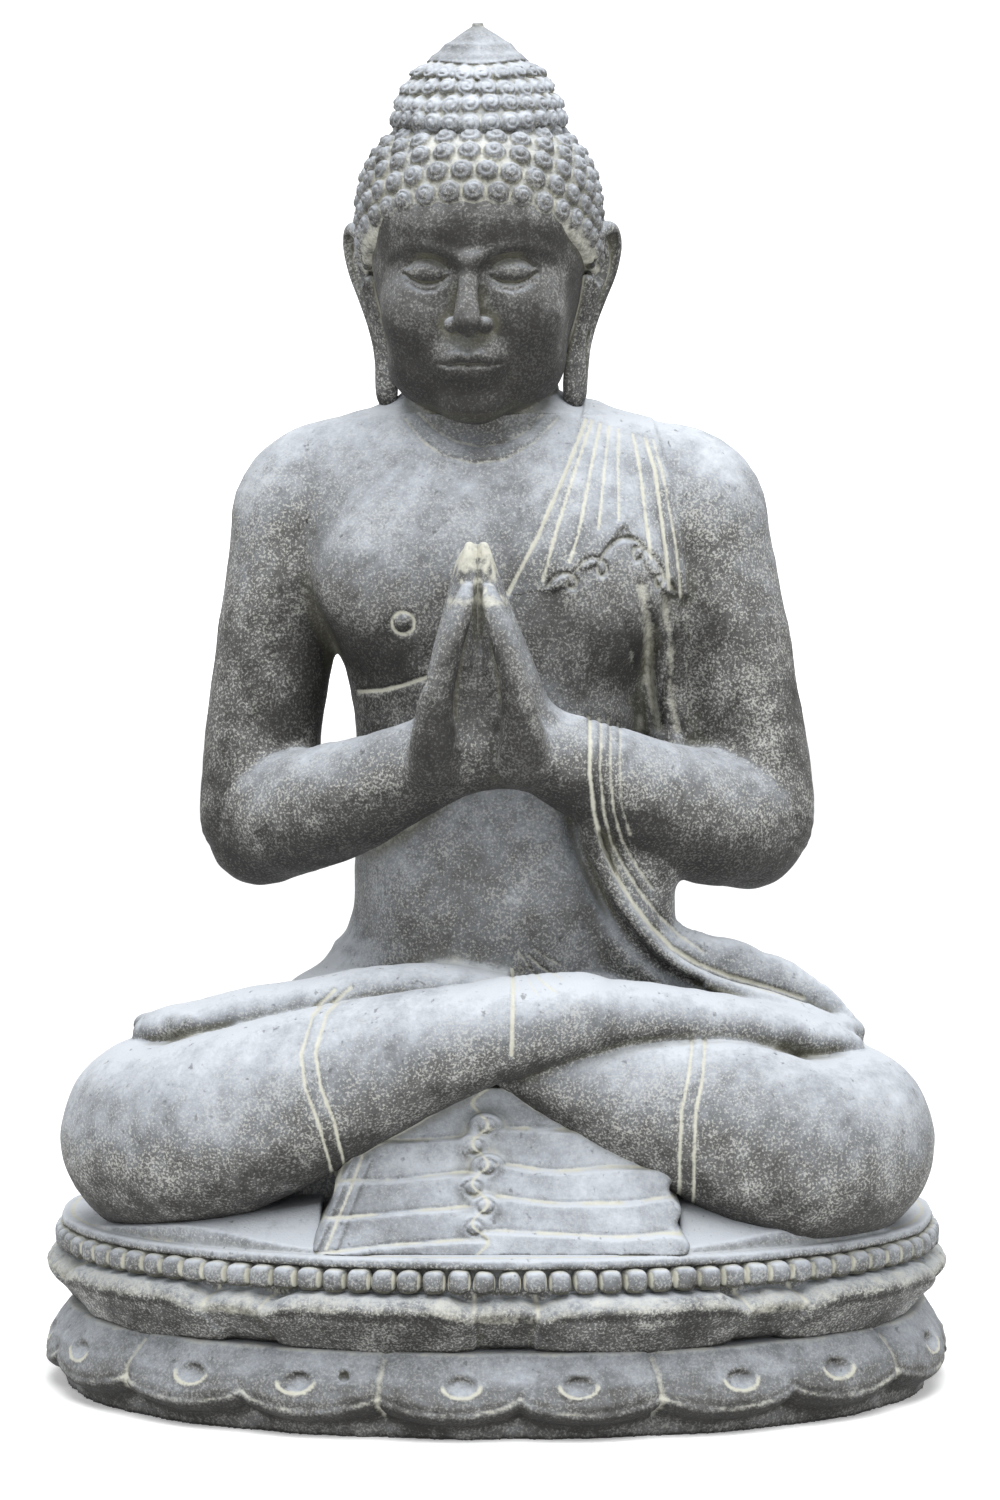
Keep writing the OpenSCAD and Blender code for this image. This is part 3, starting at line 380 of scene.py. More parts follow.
def body(P, groups=False, fine=True):
    P = np.ascontiguousarray(P, F)
    x, y, z = P[:, 0], P[:, 1], P[:, 2]
    T = trunk(P)
    T = smin(T, pec_r(P), 34); T = smin(T, pec_l(P), 34); T = smin(T, belly(P), 34)
    T = smin(T, trap(P), 22); T = smin(T, neck(P), 16); T = smin(T, neck_fold(P), 5)
    mn = (z > 715) & (z < 790)
    if mn.any():
        for z0, dip_ in ((757, 12), (737, 13)):
            zz = z[mn] + dip_ * sstep(20, -45, y[mn])
            T[mn] += 1.4 * np.exp(-((zz - z0) / 1.6) ** 2) * (np.hypot(x[mn] + 12, y[mn] - 10) < 80)
    ua_r = smin(arm_r(P), sh_r(P), 18); ua_l = smin(arm_l(P), sh_l(P), 18)
    fa_r, fa_l = fore_r(P), fore_l(P)
    H = hands(P)
    H = smin(H, ridge_r(P), 5); H = smin(H, ridge_l(P), 5)
    H = smin(H, tip_r(P), 3); H = smin(H, tip_l(P), 3)
    H = H + (3.4 + 5.2 * sstep(596, 556, z)) * np.exp(-((x - PX) / (2.2 + 7 * sstep(590, 500, z))) ** 2) * sstep(-146, -156, y) * sstep(450, 470, z)
    # gaps between the fingers, seen from the side and in front
    for s in (-1, 1):
        for a, b in ((9.0, 0.55), (17.0, 0.8)):
            cx = PX + s * (7.5 + (606 - z) * 0.165)
            gy = -150 + a + (606 - z) * b * 0.02
            H = H + 1.6 * np.exp(-((y - gy) / 1.7) ** 2) * sstep(0, 3, s * (x - PX)) * sstep(500, 530, z)
    hp = smin(hips_b(P), lap(P), 22)
    fr = foot_r(P); fl = foot_l(P)
    for t in toes_r: fr = smin(fr, t(P), 4)
    for t in toes_l: fl = smin(fl, t(P), 4)
    lr = smin(leg_r(P), knee_r(P), 22); ll = smin(leg_l(P), knee_l(P), 22)
    dr = drape(P)
    if groups:
        # below the waist joint the trunk's flare belongs to the hips' casting
        hp = np.where(z < 301, np.minimum(hp, T), hp)
        T = np.where(z < 301, T + 40, T)
        return np.stack([T, ua_r, ua_l, fa_r, fa_l, np.where(x < PX, H, H + 3), np.where(x >= PX, H, H + 3), hp, lr, ll, fr, fl, dr])
    B = smin(T, ua_r, 9); B = smin(B, ua_l, 22); B = smin(B, web_l(P), 16)
    A = smin(fa_r, H, 12); A2 = smin(fa_l, H, 12)
    A = np.minimum(A, A2)
    # the elbow's inner crease stays crisp, its outside is one mass
    B = smin(B, A, 9)
    B = smin(B, dr, 12)
    B = smin(B, drape_ridge(P), 5)
    L = smin(hp, ll, 8)
    L = smin(L, lr, 7)
    L = smin(L, fl, 5)
    L = smin(L, fr, 6)
    B = smin(B, L, 14)
    if fine:
        B = B - sash_relief(P) + front_detail(P)
        m = (x > 48) & (y < 10) & (z > 270) & (z < 500)
        if m.any():
            c = np.zeros(m.sum(), F)
            for pts, w, dp, a in DRAPE_LINES:
                q = line_dist(x[m], z[m], pts, 8)
                c = np.maximum(c, dp * np.exp(-(q / w) ** 2))
            B[m] += c * sstep(-30, -45, y[m])
        # deep shadowed channel behind the hanging edge
        mc = (x > 40) & (x < 150) & (y < -10) & (z > 300) & (z < 440)
        if mc.any():
            q = line_dist(x[mc] + 11, z[mc] + 4, RIDGE_XZ, 26)
            B[mc] += 7.0 * np.exp(-(q / 6.5) ** 2) * sstep(-118, -96, y[mc]) * sstep(442, 415, z[mc])
        # long shallow pleats in the hanging cloth
        md = (x > 55) & (x < 240) & (y < 0) & (z > 270) & (z < 420)
        if md.any():
            B[md] += 1.6 * np.sin((x[md] - (z[md] - 300) * -0.35) / 5.2) * sstep(420, 395, z[md]) * sstep(10, -6, dr[md]) * 0.8
        # nipple: a small disc inside a cut ring
        q = np.hypot(x + 68, z - 566)
        nm = (q < 16) & (y < -40)
        if nm.any():
            B[nm] += 1.6 * np.exp(-((q[nm] - 8.0) / 1.5) ** 2) - 1.6 * np.exp(-(q[nm] / 5.0) ** 2)
        B = B + 0.55 * waves(P, 46, 0) + 0.28 * waves(P, 17, 1)
    return B.astype(F)

def body_dep(P):
    """pale lime in the cut lines"""
    P = np.ascontiguousarray(P, F)
    cut, dep = front_detail(P, True)
    x, y, z = P[:, 0], P[:, 1], P[:, 2]
    m = (x > 48) & (y < 10) & (z > 270) & (z < 500)
    if m.any():
        c = np.zeros(m.sum(), F)
        for pts, w, dp, a in DRAPE_LINES:
            q = line_dist(x[m], z[m], pts, 8)
            c = np.maximum(c, a * np.exp(-(q / w) ** 2))
        dep[m] = np.maximum(dep[m], c * sstep(-30, -45, y[m]))
    q = np.hypot(x + 68, z - 566)
    dep = np.maximum(dep, 0.9 * np.exp(-((q - 8.0) / 1.4) ** 2) * (y < -40))
    # finger tips worn pale
    tipz = z + 9 * waves(P, 7, 2) + 6 * waves(P, 15, 1)
    dep = np.maximum(dep, 0.62 * sstep(592, 612, tipz) * (y < -118) * (z < 640) * (np.abs(x - PX) < 30))
    ring = np.exp(-((z - 584 - 3 * waves(P, 12, 3)) / 4.0) ** 2)
    dep = np.maximum(dep, 0.5 * ring * (y < -140) * (np.abs(x - PX) < 22))
    return dep

def region(name, P, fine=True):
    D = body(P, groups=True)
    i = GROUPS.index(name)
    o = np.delete(D, i, 0).min(0)
    return (D[i] - o) * 0.5 - 1.2

# ------------------------------------------------------------------ pedestal
PA, PB, PE = 333.5, 227.0, 2.15
_f = np.linspace(0, 2 * np.pi, 2881)
_ox = PA * np.sign(np.cos(_f)) * np.abs(np.cos(_f)) ** (2 / PE)
_oy = PB * np.sign(np.sin(_f)) * np.abs(np.sin(_f)) ** (2 / PE)
_th = np.unwrap(np.arctan2(_oy / PB, _ox / PA))
_ss = np.concatenate([[0], np.cumsum(np.hypot(np.diff(_ox), np.diff(_oy)))])
PERIM = float(_ss[-1])
S_FRONT = float(np.interp(1.5 * np.pi, _th, _ss))
PETALS = 9
PITCH = PERIM / PETALS

def oval(P, a=PA, b=PB):
    x, y = np.abs(P[:, 0]), np.abs(P[:, 1])
    e = PE
    k = ((x / a) ** e + (y / b) ** e) ** (1 / e) + 1e-6
    g = k ** (1 - e) * np.sqrt((x ** (e - 1) / a ** e) ** 2 + (y ** (e - 1) / b ** e) ** 2) + 1e-6
    return np.clip((k - 1) / g, -230, 400).astype(F)

def along(P):
    t = np.arctan2(P[:, 1] / PB, P[:, 0] / PA)
    t = np.where(t < 0, t + 2 * np.pi, t)
    return (np.interp(t, _th, _ss) - S_FRONT).astype(F)

def bow(R, z, pts):
    return sd_poly(R, z, pts)

UP_BIG = [(-40, 60), (-24, 60), (-17, 61), (-12, 68), (-6, 76), (0, 83), (3.4, 89), (3.6, 92), (1, 96), (-4, 100), (-12, 102), (-40, 102)]
UP_GAP = [(-40, 61), (-25, 61), (-20, 64), (-14, 71), (-8, 78), (-2, 84), (0.6, 88), (0.4, 91), (-3, 95), (-8, 98.5), (-16, 101), (-40, 102)]
def upper_field(P, dep=False):
    R = oval(P) + 0.9 * waves(P, 52, 0) + 0.35 * waves(P, 14, 2)
    z = P[:, 2] + 0.4 * waves(P, 30, 1)
    s = along(P) - 6.0
    q = np.abs(s - np.round(s / PITCH) * PITCH)
    c = PITCH / 2 - q
    w = c / 76.0
    drop = 7.0 * sstep(0.6, 1.02, w) ** 1.6
    tt = np.clip((z - 62) / 30, 0, 1)
    sag = 3.0 * (1 - sstep(0.1, 0.95, w)) * (1 - tt)
    big = bow(R + 3.4 * sstep(0.75, 1.04, w) + 1.6 * sstep(0.1, 0.6, w) * (1 - sstep(0.4, 1.0, w)), z + drop * tt + sag * 1.0, UP_BIG)
    big = smax(big, (c - 77.5), 3)
    wg = q / 24.0
    gap = smax(bow(R + 2.2 + 1.5 * wg * wg, z + 3 * wg * wg * tt, UP_GAP), q - 26.0, 2)
    d = np.minimum(big, gap)
    zz = P[:, 2]
    core = np.maximum(np.maximum(R + 26, zz - 127), 63.4 - zz)
    band = np.maximum(np.maximum(R + 17.5, zz - 122), 90 - zz)
    lip = smax(smax(R + 9.0, zz - 127.8 - np.clip((-R - 12) * 0.05, 0, 0.4), 2.2), 119.8 - zz, 1.0)
    d = np.minimum(np.minimum(d, core), np.minimum(band, lip))
    # ring line on the deck's edge
    rl = np.hypot(R + 16.5, (zz - 127.6) * 0.9)
    d = d + 1.3 * np.exp(-(rl / 1.7) ** 2)
    # hollow underside, and the drilled hole for the rod
    hol = np.maximum(oval(P, 264.0, 160.0), zz - 96)
    d = smax(d, -hol, 1.5)
    d = np.maximum(d, 9 - np.hypot(P[:, 0], P[:, 1] - 10))
    # low aprons of cloth on the deck under the knees
    x, y = P[:, 0], P[:, 1]
    for sx, a, b in ((-1, 128.0, 292.0), (1, 132.0, 284.0)):
        t = np.clip((sx * x - a) / (b - a), 0, 1)
        top = 128.5 + 24.0 * (1 - t) ** 0.8 * sstep(-201, -150, y) + 3.0 * (1 - t) * sstep(-203, -199, y)
        ap = np.maximum(np.maximum((zz - top) * 0.85, 124 - zz), np.maximum(np.maximum(a - 3 - sx * x, sx * x - b), -60 - (-y) - 0))
        ap = np.maximum(ap, -(y + 202 - 30 * t * t))
        ap = np.maximum(ap, y + 70)
        ap = np.maximum(ap, oval(P) + 15)
        d = smin(d, ap, 1.5)
    if dep:
        o = 1.0 * np.exp(-(rl / 1.6) ** 2)
        # pale rim of each petal and the seam behind it
        rim = sstep(87.5, 92.5, z + drop) * sstep(103, 99, z) * sstep(-16, -11, R)
        o = np.maximum(o, 0.35 * rim)
        o = np.maximum(o, 0.8 * np.exp(-((c - 77) / 2.0) ** 2) * sstep(84, 90, z) * sstep(104, 100, z))
        return o
    return d

def bead_field(P, dep=False):
    n = 98
    R = oval(P)
    s = along(P)
    pit = (PERIM - 2 * np.pi * 11.5) / n
    sc = (PERIM - 2 * np.pi * 11.5) / PERIM
    s2 = s * sc
    i = np.floor(s2 / pit)
    ds = s2 - (i + 0.5) * pit
    h = np.sin(i * 12.9898) * 43758.5453
    h = h - np.floor(h)
    a = 7.7 + 0.5 * h
    dz = P[:, 2] - (111.2 + 0.7 * (h - 0.5))
    e = 3.0
    k = ((np.abs(ds) / a) ** e + (np.abs(dz) / 8.4) ** e + (np.abs(R + 11.6) / 8.0) ** e) ** (1 / e)
    if dep:
        return 0.9 * sstep(6.1, 7.5, np.abs(ds)) * sstep(-12, -9, R) + 0.45 * sstep(6.6, 8.0, dz) * sstep(-12, -8, R)
    return ((k - 1) * 7.8 + 0.25 * waves(P, 11, 2)).astype(F)

LOW = [(-60, 62.6), (-16, 62.6), (-13, 58), (-6, 48), (0, 38), (3.2, 27), (3.8, 21), (2.4, 16.5), (-1, 13), (-6, 11), (-9.5, 7), (-11, 3), (-11.5, 0), (-60, 0)]
def lower_field(P, dep=False):
    R = oval(P) + 0.9 * waves(P, 58, 2) + 0.3 * waves(P, 15, 0)
    z = P[:, 2]
    s = along(P) - 16.0
    q = s - np.round(s / PITCH) * PITCH
    aq = np.abs(q)
    v = (aq - 49.0) / 50.0
    rise = 8.0 * v * v
    tri = np.clip((56 - z) / 30, 0, 1) * np.clip(z / 10, 0, 1)
    lip = R + 2.6 * v * v
    d = bow(lip, z - rise * tri, LOW)
    cleft = np.exp(-((aq - PITCH / 2) / 2.6) ** 2) * sstep(10, 20, z)
    d = d + 2.2 * cleft
    cusp = np.exp(-(q / 4.0) ** 2) * sstep(40, 28, z) * sstep(8, 16, z)
    d = d + 1.6 * cusp
    zl_ = 20.0 + 9.5 * v * v + 2.2 * np.exp(-(q / 5.0) ** 2)
    d = d + 1.1 * np.exp(-((z - zl_ - 1.5) / 1.6) ** 2) - 0.8 * np.exp(-((z - zl_ + 2.5) / 3.0) ** 2)
    # scooped curl on each lobe
    dz = z - 40.5
    dq = aq - 41.0
    k = np.sqrt((dq / 13.5) ** 2 + (dz / 8.5) ** 2)
    pocket = sstep(1.0, 0.35, k + 0.45 * np.clip(dz / 8.5, 0, 1))
    d = d + 3.4 * pocket
    edge = np.exp(-((k - 1.0) / 0.13) ** 2) * sstep(3.5, -3, dz) 
    d = d - 0.9 * edge
    top = P[:, 2] - 60.0
    d = np.maximum(d, top)
    hol = oval(P, 268.0, 164.0)
    d = smax(d, -hol, 1.5)
    # an air bubble left in the casting
    d = np.maximum(d, 3.6 - np.sqrt((P[:, 0] + 107) ** 2 + (z - 44) ** 2 + ((P[:, 1] + 213) * 0.7) ** 2))
    d = np.maximum(d, 6 - np.hypot(P[:, 0], z - 21) - 400 * (P[:, 1] < 60))
    if dep:
        zl = 20.0 + 9.5 * v * v + 2.2 * np.exp(-(q / 5.0) ** 2)
        arc = np.exp(-((z - zl) / 1.5) ** 2)
        o = 0.95 * edge * (R > -14) + 0.5 * cleft * (R > -16) + 0.5 * arc * (R > -12) * np.clip(0.7 + 0.7 * waves(P, 26, 3), 0, 1)
        o = np.maximum(o, 0.4 * sstep(56, 59.5, z) * (R > -24))
        return o
    return d.astype(F)

# ------------------------------------------------------------------ cloth spread over the front of the deck
SPINE = -12.0
PLEAT_L = [[137, 133], [159, 154], [182, 176], [207, 201]]
PLEAT_R = [[142, 139], [165, 160], [188, 181], [213, 205]]
def fan_field(P, dep=False):
    x, y, z = P[:, 0], P[:, 1], P[:, 2]
    sx = SPINE + 5.5 * np.sin((z - 130) / 26.0 * 6.283) 
    left = x < sx
    u = np.clip(np.abs(x - sx) / 125, 0, 1)
    wav = 2.0 * np.sin(u * 5.0 + z * 0.05) + 1.2 * waves(P, 60, 1)
    zl = z - wav - 3.5 * u * u * np.where(left, -1, 1)
    g = np.zeros(len(P), F)
    step = np.zeros(len(P), F)
    line = np.zeros(len(P), F)
    for L, R_ in zip(PLEAT_L, PLEAT_R):
        zz = np.where(left, L[0] + (L[1] - L[0]) * u, R_[0] + (R_[1] - R_[0]) * u)
        t = zl - zz
        line = np.maximum(line, np.exp(-(t / 1.25) ** 2))
        step = step + 3.2 * sstep(-2.6, 1.6, t)
    yf = -203 + 0.36 * (z - 128) + step
    d = (yf - y) * 0.85 + 1.1 * line
    xl = -130 + np.clip((z - 130) / 80, 0, 1) * 30 + 1.6 * np.sin(z / 6.0)
    xr = 134 - np.clip((z - 128) / 90, 0, 1) * 22 + 2.6 * np.sin((z - 128) / 23.0 * 6.283)
    d = smax(d, xl - x, 7)
    d = smax(d, x - xr, 7)
    d = np.maximum(d, 127.4 - z)
    d = np.maximum(d, z - 238)
    d = np.maximum(d, y + 100)
    # the spine's rolled curls
    for i, (cx, cz) in enumerate([(-16, 146), (-8, 160), (-17, 172), (-7, 186), (-16, 199), (-8, 213)]):
        yc = -203 + 0.36 * (cz - 128) + 3.2 * (1 + i // 2)
        r = np.sqrt(((x - cx) / 12) ** 2 + ((z - cz) / 9) ** 2 + ((y - yc - 1) / 6.0) ** 2)
        d = smin(d, (r - 1) * 6.0, 4)
        rr = np.hypot((x - cx) / 1.15, z - cz)
        d = d + 1.2 * np.exp(-((rr - 5.2) / 1.1) ** 2) * (y < yc + 6)
    # ridge of folded hem down each side
    for pts in (((-100, 196), (-110, 170), (-119, 148), (-127, 131)), ((-90, 190), (-99, 168), (-107, 148), (-113, 132))):
        q = line_dist(x, z, pts, 7)
        d = d - 2.0 * np.exp(-(q / 2.0) ** 2)
    d = d + 0.35 * waves(P, 26, 1)
    if dep:
        o = line * 0.8 * np.clip(0.75 + 0.6 * waves(P, 22, 3), 0, 1)
        ridge_line = np.zeros(len(P), F)
        for pts in (((-95, 193), (-104, 169), (-113, 148), (-120, 131)), ((-105, 196), (-115, 170), (-124, 148))):
            ridge_line = np.maximum(ridge_line, np.exp(-(line_dist(x, z, pts, 6) / 1.3) ** 2))
        o = np.maximum(o, 0.75 * ridge_line)
        sp = np.exp(-((x - sx) / 1.7) ** 2)
        o = np.maximum(o, 0.8 * sp)
        return o * (y < -120)
    return d.astype(F)

# ------------------------------------------------------------------ head
HO = np.array([-13.0, -6.0, 826.0])
_a, _b = math.radians(-5), math.radians(7)
HR = np.array([[math.cos(_a), -math.sin(_a), 0], [math.sin(_a), math.cos(_a), 0], [0, 0, 1]]) @ np.array([[1, 0, 0], [0, math.cos(_b), -math.sin(_b)], [0, math.sin(_b), math.cos(_b)]])
HRF, HOF = HR.astype(F), HO.astype(F)
def loc(P):
    return ((P - HOF) @ HRF).astype(F)

skull = Loft([[-107, 0, -58, 12, 10, 8], [-103, 0, -52, 24, 22, 24], [-95, 0, -44, 36, 35, 38], [-82, 0, -34, 48, 49, 52], [-64, 0, -20, 60, 65, 70], [-42, 0, -9, 69, 77, 82], [-16, 0, -1, 76, 86, 88], [12, 0, 1, 79, 90, 90], [40, 0, 1, 79, 90, 90], [66, 0, 2, 72, 82, 84], [86, 0, 3, 58, 68, 68], [100, 0, 3, 36, 46, 46]], e=2.12, cap=4)
def mir(fn_pts, **kw):
    return [Tube([[s * p[0]] + list(p[1:]) for p in fn_pts], **kw) for s in (-1, 1)]
brow = mir([(57, -60, 12, 3, 3.5), (50, -70, 18, 4, 4), (40, -79, 21, 4.5, 4.5), (28, -85, 20.5, 4.5, 4.5), (16, -88, 17, 4.5, 4.5), (6, -90, 12.5, 5, 5), (0, -90.5, 10, 5, 5)])
nose = Tube([[0, -85, 14, 6.5, 6.5], [0, -90, 2, 6.5, 6.5], [0, -96, -14, 7.5, 7], [0, -102, -28, 9.5, 8], [0, -104, -34, 9, 7.5], [0, -98, -40, 7, 5]], ref=(0, 1, 0))
wing = [Ell((s * 10.5, -94, -35), (7.2, 8.5, 6.2)) for s in (-1, 1)]
nostril = [Ell((s * 6.2, -99, -42), (3.2, 4.6, 3.2)) for s in (-1, 1)]
cheek = [Ell((s * 38, -60, -30), (26, 24, 30)) for s in (-1, 1)]
socket = [Ell((s * 31, -90, 6), (22, 11, 13.5), rz=s * 14) for s in (-1, 1)]
eyeball = [Ell((s * 30, -72, 0.5), (18.5, 13.0, 11.5), rz=s * 12) for s in (-1, 1)]
mouth_mass = Ell((0, -78, -61), (27, 19, 19))
lip_u = Tube([[-24, -84, -62.5, 1.6, 1.8], [-15, -91, -60, 3.2, 3.6], [-6, -95.5, -57.5, 3.8, 4.4], [0, -96, -58.5, 3.8, 4.2], [6, -95.5, -57.5, 3.8, 4.4], [15, -91, -60, 3.2, 3.6], [24, -84, -62.5, 1.6, 1.8]])
lip_l = Tube([[-21, -84.5, -65.5, 1.6, 1.8], [-12, -90.5, -68, 3.6, 4.0], [0, -93.5, -69.5, 4.4, 5.0], [12, -90.5, -68, 3.6, 4.0], [21, -84.5, -65.5, 1.6, 1.8]])
chin = Ell((0, -72, -92), (19, 15, 13.5))
jawpad = [Ell((s * 38, -34, -70), (24, 34, 24)) for s in (-1, 1)]
brow_mass = Ell((0, -50, 34), (64, 42, 34))

def groove(P, pts, w, s=1):
    q = line_dist(P[:, 0] * s, P[:, 2], pts, 3.5 * w)
    return np.exp(-(q / w) ** 2) * (P[:, 1] < -30)

LID = ((15.5, -1.5), (19, -4.2), (25, -6.3), (31, -6.8), (37, -5.6), (43, -3.0), (47.5, 0.2))
LID2 = ((17, -5.0), (24, -10.3), (31, -11.6), (38, -10.0), (45, -5.0))
CREASE = ((15, 3.5), (20, 8.4), (27, 11.2), (33, 11.4), (40, 9.2), (46, 4.6))
def face_field(L, dep=False):
    d = skull(L)
    for c in cheek: d = smin(d, c(L), 20)
    for c in jawpad: d = smin(d, c(L), 18)
    d = smin(d, brow_mass(L), 16)
    d = smin(d, mouth_mass(L), 12)
    d = smin(d, chin(L), 12)
    for c in socket: d = smax(d, -c(L), 9)
    for c in eyeball: d = smin(d, c(L), 2.5)
    for c in brow: d = smin(d, c(L), 5)
    d = smin(d, nose(L), 7)
    for c in wing: d = smin(d, c(L), 4)
    for c in nostril: d = smax(d, -c(L), 2)
    d = smin(d, lip_u(L), 2.6)
    d = smin(d, lip_l(L), 2.6)
    g = np.zeros(len(L), F)
    for s in (-1, 1):
        g = np.maximum(g, 2.0 * groove(L, LID, 1.25, s))
        g = np.maximum(g, 1.1 * groove(L, LID2, 1.3, s))
        g = np.maximum(g, 1.3 * groove(L, CREASE, 1.2, s))
    g = np.maximum(g, 1.7 * groove(L, ((-23, -63.2), (-14, -64.6), (-5, -63.6), (0, -64.4), (5, -63.6), (14, -64.6), (23, -63.2)), 1.2))
    g = np.maximum(g, 1.0 * groove(L, ((0, -43), (0, -54)), 2.4))
    d = d + g
    if dep:
        return 0.0 * g
    return d

urna = Ell((0, -90, 29), (5.6, 4.6, 5.6))

# tilt of the hairline: high on the brow, low on the nape
HN = np.array([0, 0.5, 0.8660254], F)
_u1 = np.array([1, 0, 0], F)
_u2 = np.cross(HN, _u1).astype(F)
def curl_bump(du, dv, r, h, ph):
    rho = np.hypot(du, dv)
    dome = h * np.sqrt(np.clip(1 - (rho / r) ** 2, 0, 1))
    ang = np.arctan2(dv, du)
    gro = 0.5 + 0.5 * np.cos(6.283 * rho / 4.3 - ang + ph)
    win = sstep(0.9, 2.4, rho) * sstep(r - 0.4, r - 2.2, rho)
    return dome - 1.5 * gro ** 2 * win, rho

def hashf(a):
    h = np.sin(a * 12.9898) * 43758.5453
    return h - np.floor(h)

cap_base = Loft([[-80, 0, 2, 80, 88, 86], [-66, 0, 2, 83, 91, 89], [-40, 0, 2, 86, 94, 93], [-10, 0, 2, 87.5, 95, 95], [18, 0, 2, 88, 95, 95.5], [40, 0, 2, 88, 95, 95.5], [56, 0, 2, 86.5, 93, 94], [70, 0, 2, 82.5, 88.5, 90], [82, 0, 2, 76, 81.5, 83.5], [92, 0, 2, 67.5, 73, 75], [99, 0, 3, 58, 63, 65], [104, 0, 3, 50, 54, 56]], e=2.1, cap=5)
CC = np.array([0, 4, 10], F)
def cap_curls(L, dep=False):
    v = L - CC
    R = np.sqrt((v * v).sum(1)) + 1e-6
    cz = (v @ HN) / R
    psi = np.arccos(np.clip(cz, -1, 1))
    phi = np.arctan2(v @ _u2, v @ _u1)
    dpsi = math.radians(8.5)
    p0 = math.radians(92.0)
    row = np.clip(np.round((p0 - psi) / dpsi), 0, 9)
    pr = p0 - row * dpsi
    n = np.maximum(np.round(6.283 * 93 * np.sin(pr) / 15.6), 3)
    off = np.where(row % 2 > 0.5, 0.5, 0.0)
    t = phi / 6.2832 * n + off
    i = np.round(t)
    hh = hashf(i + row * 37)
    du = (t - i) / n * 6.2832 * R * np.sin(pr)
    dv = (psi - pr) * R
    du = du + 1.4 * (hh - 0.5)
    b, rho = curl_bump(du, dv, 8.3, 6.2, hh * 6.28)
    if dep:
        return sstep(6.3, 8.6, rho) + 0.35 * 0
    return b

def cap_field(L):
    d = cap_base(L) * 0.93
    m = np.abs(d) < 14
    if m.any():
        d = d.copy()
        d[m] = d[m] - cap_curls(L[m]) * 0.95 + 1.6
    w = (L - np.array([0, -96, 50], F)) @ HN
    d = smax(d, -w + 1.0, 4.0)
    return d

TK = np.array([[0, 61, 63], [6, 61.5, 63.5], [14, 60.5, 62.5], [24, 57, 59], [34, 51.5, 53.5], [43, 45, 47], [50, 38.5, 40], [54, 34, 35.5], [57, 31.5, 33], [59.5, 27.5, 29], [65, 22, 23], [67, 17.5, 18.5], [72, 11, 12], [75, 6, 6.5], [77.5, 2, 2.2]], float)
_tr = (TK[:, 1] + TK[:, 2]) / 2
_ts = np.concatenate([[0], np.cumsum(np.hypot(np.diff(TK[:, 0]), np.diff(_tr)))])
def knot_field(L, dep=False):
    z = L[:, 2] - 97.0
    y = L[:, 1] - 6.0
    x = L[:, 0]
    a = np.interp(z, TK[:, 0], TK[:, 1]).astype(F)
    b = np.interp(z, TK[:, 0], TK[:, 2]).astype(F)
    r = np.hypot(x, y) + 1e-6
    k = np.sqrt((x / a) ** 2 + (y / b) ** 2) + 1e-6
    sl = np.interp(z, TK[:, 0], np.gradient(_tr, TK[:, 0]))
    d = (r - r / k) / np.sqrt(1 + np.clip(sl, -2.5, 2.5) ** 2)
    s = np.interp(z, TK[:, 0], _ts)
    # rows of curls
    s0, ds_ = 11.0, 13.2
    row = np.clip(np.round((s - s0) / ds_), 0, 3)
    s = s + 1.6 * np.sin(np.arctan2(y, x) * 3 + row * 2.0)
    sr = s0 + row * ds_
    rr = np.interp(np.interp(sr, _ts, TK[:, 0]), TK[:, 0], _tr) + 3
    n = np.maximum(np.round(6.283 * rr / 14.8), 3)
    phi = np.arctan2(y, x)
    t = phi / 6.2832 * n + np.where(row % 2 > 0.5, 0.5, 0.0)
    i = np.round(t)
    hh = hashf(i + row * 17 + 5)
    du = (t - i) / n * 6.2832 * rr + 1.2 * (hh - 0.5)
    b2, rho = curl_bump(du, (s - sr), 8.2, 6.4, hh * 6.28)
    use = sstep(61.0, 58.0, s)
    if dep:
        return sstep(6.2, 8.6, rho) * use
    d = d - (b2 - 1.2) * use * (np.abs(d) < 14) - 1.0 * (1 - use)
    d = np.maximum(d, (z - 80.0))
    d = d + 0.3 * waves(L, 16, 3)
    return smax(d, -z - 1.0, 2).astype(F)

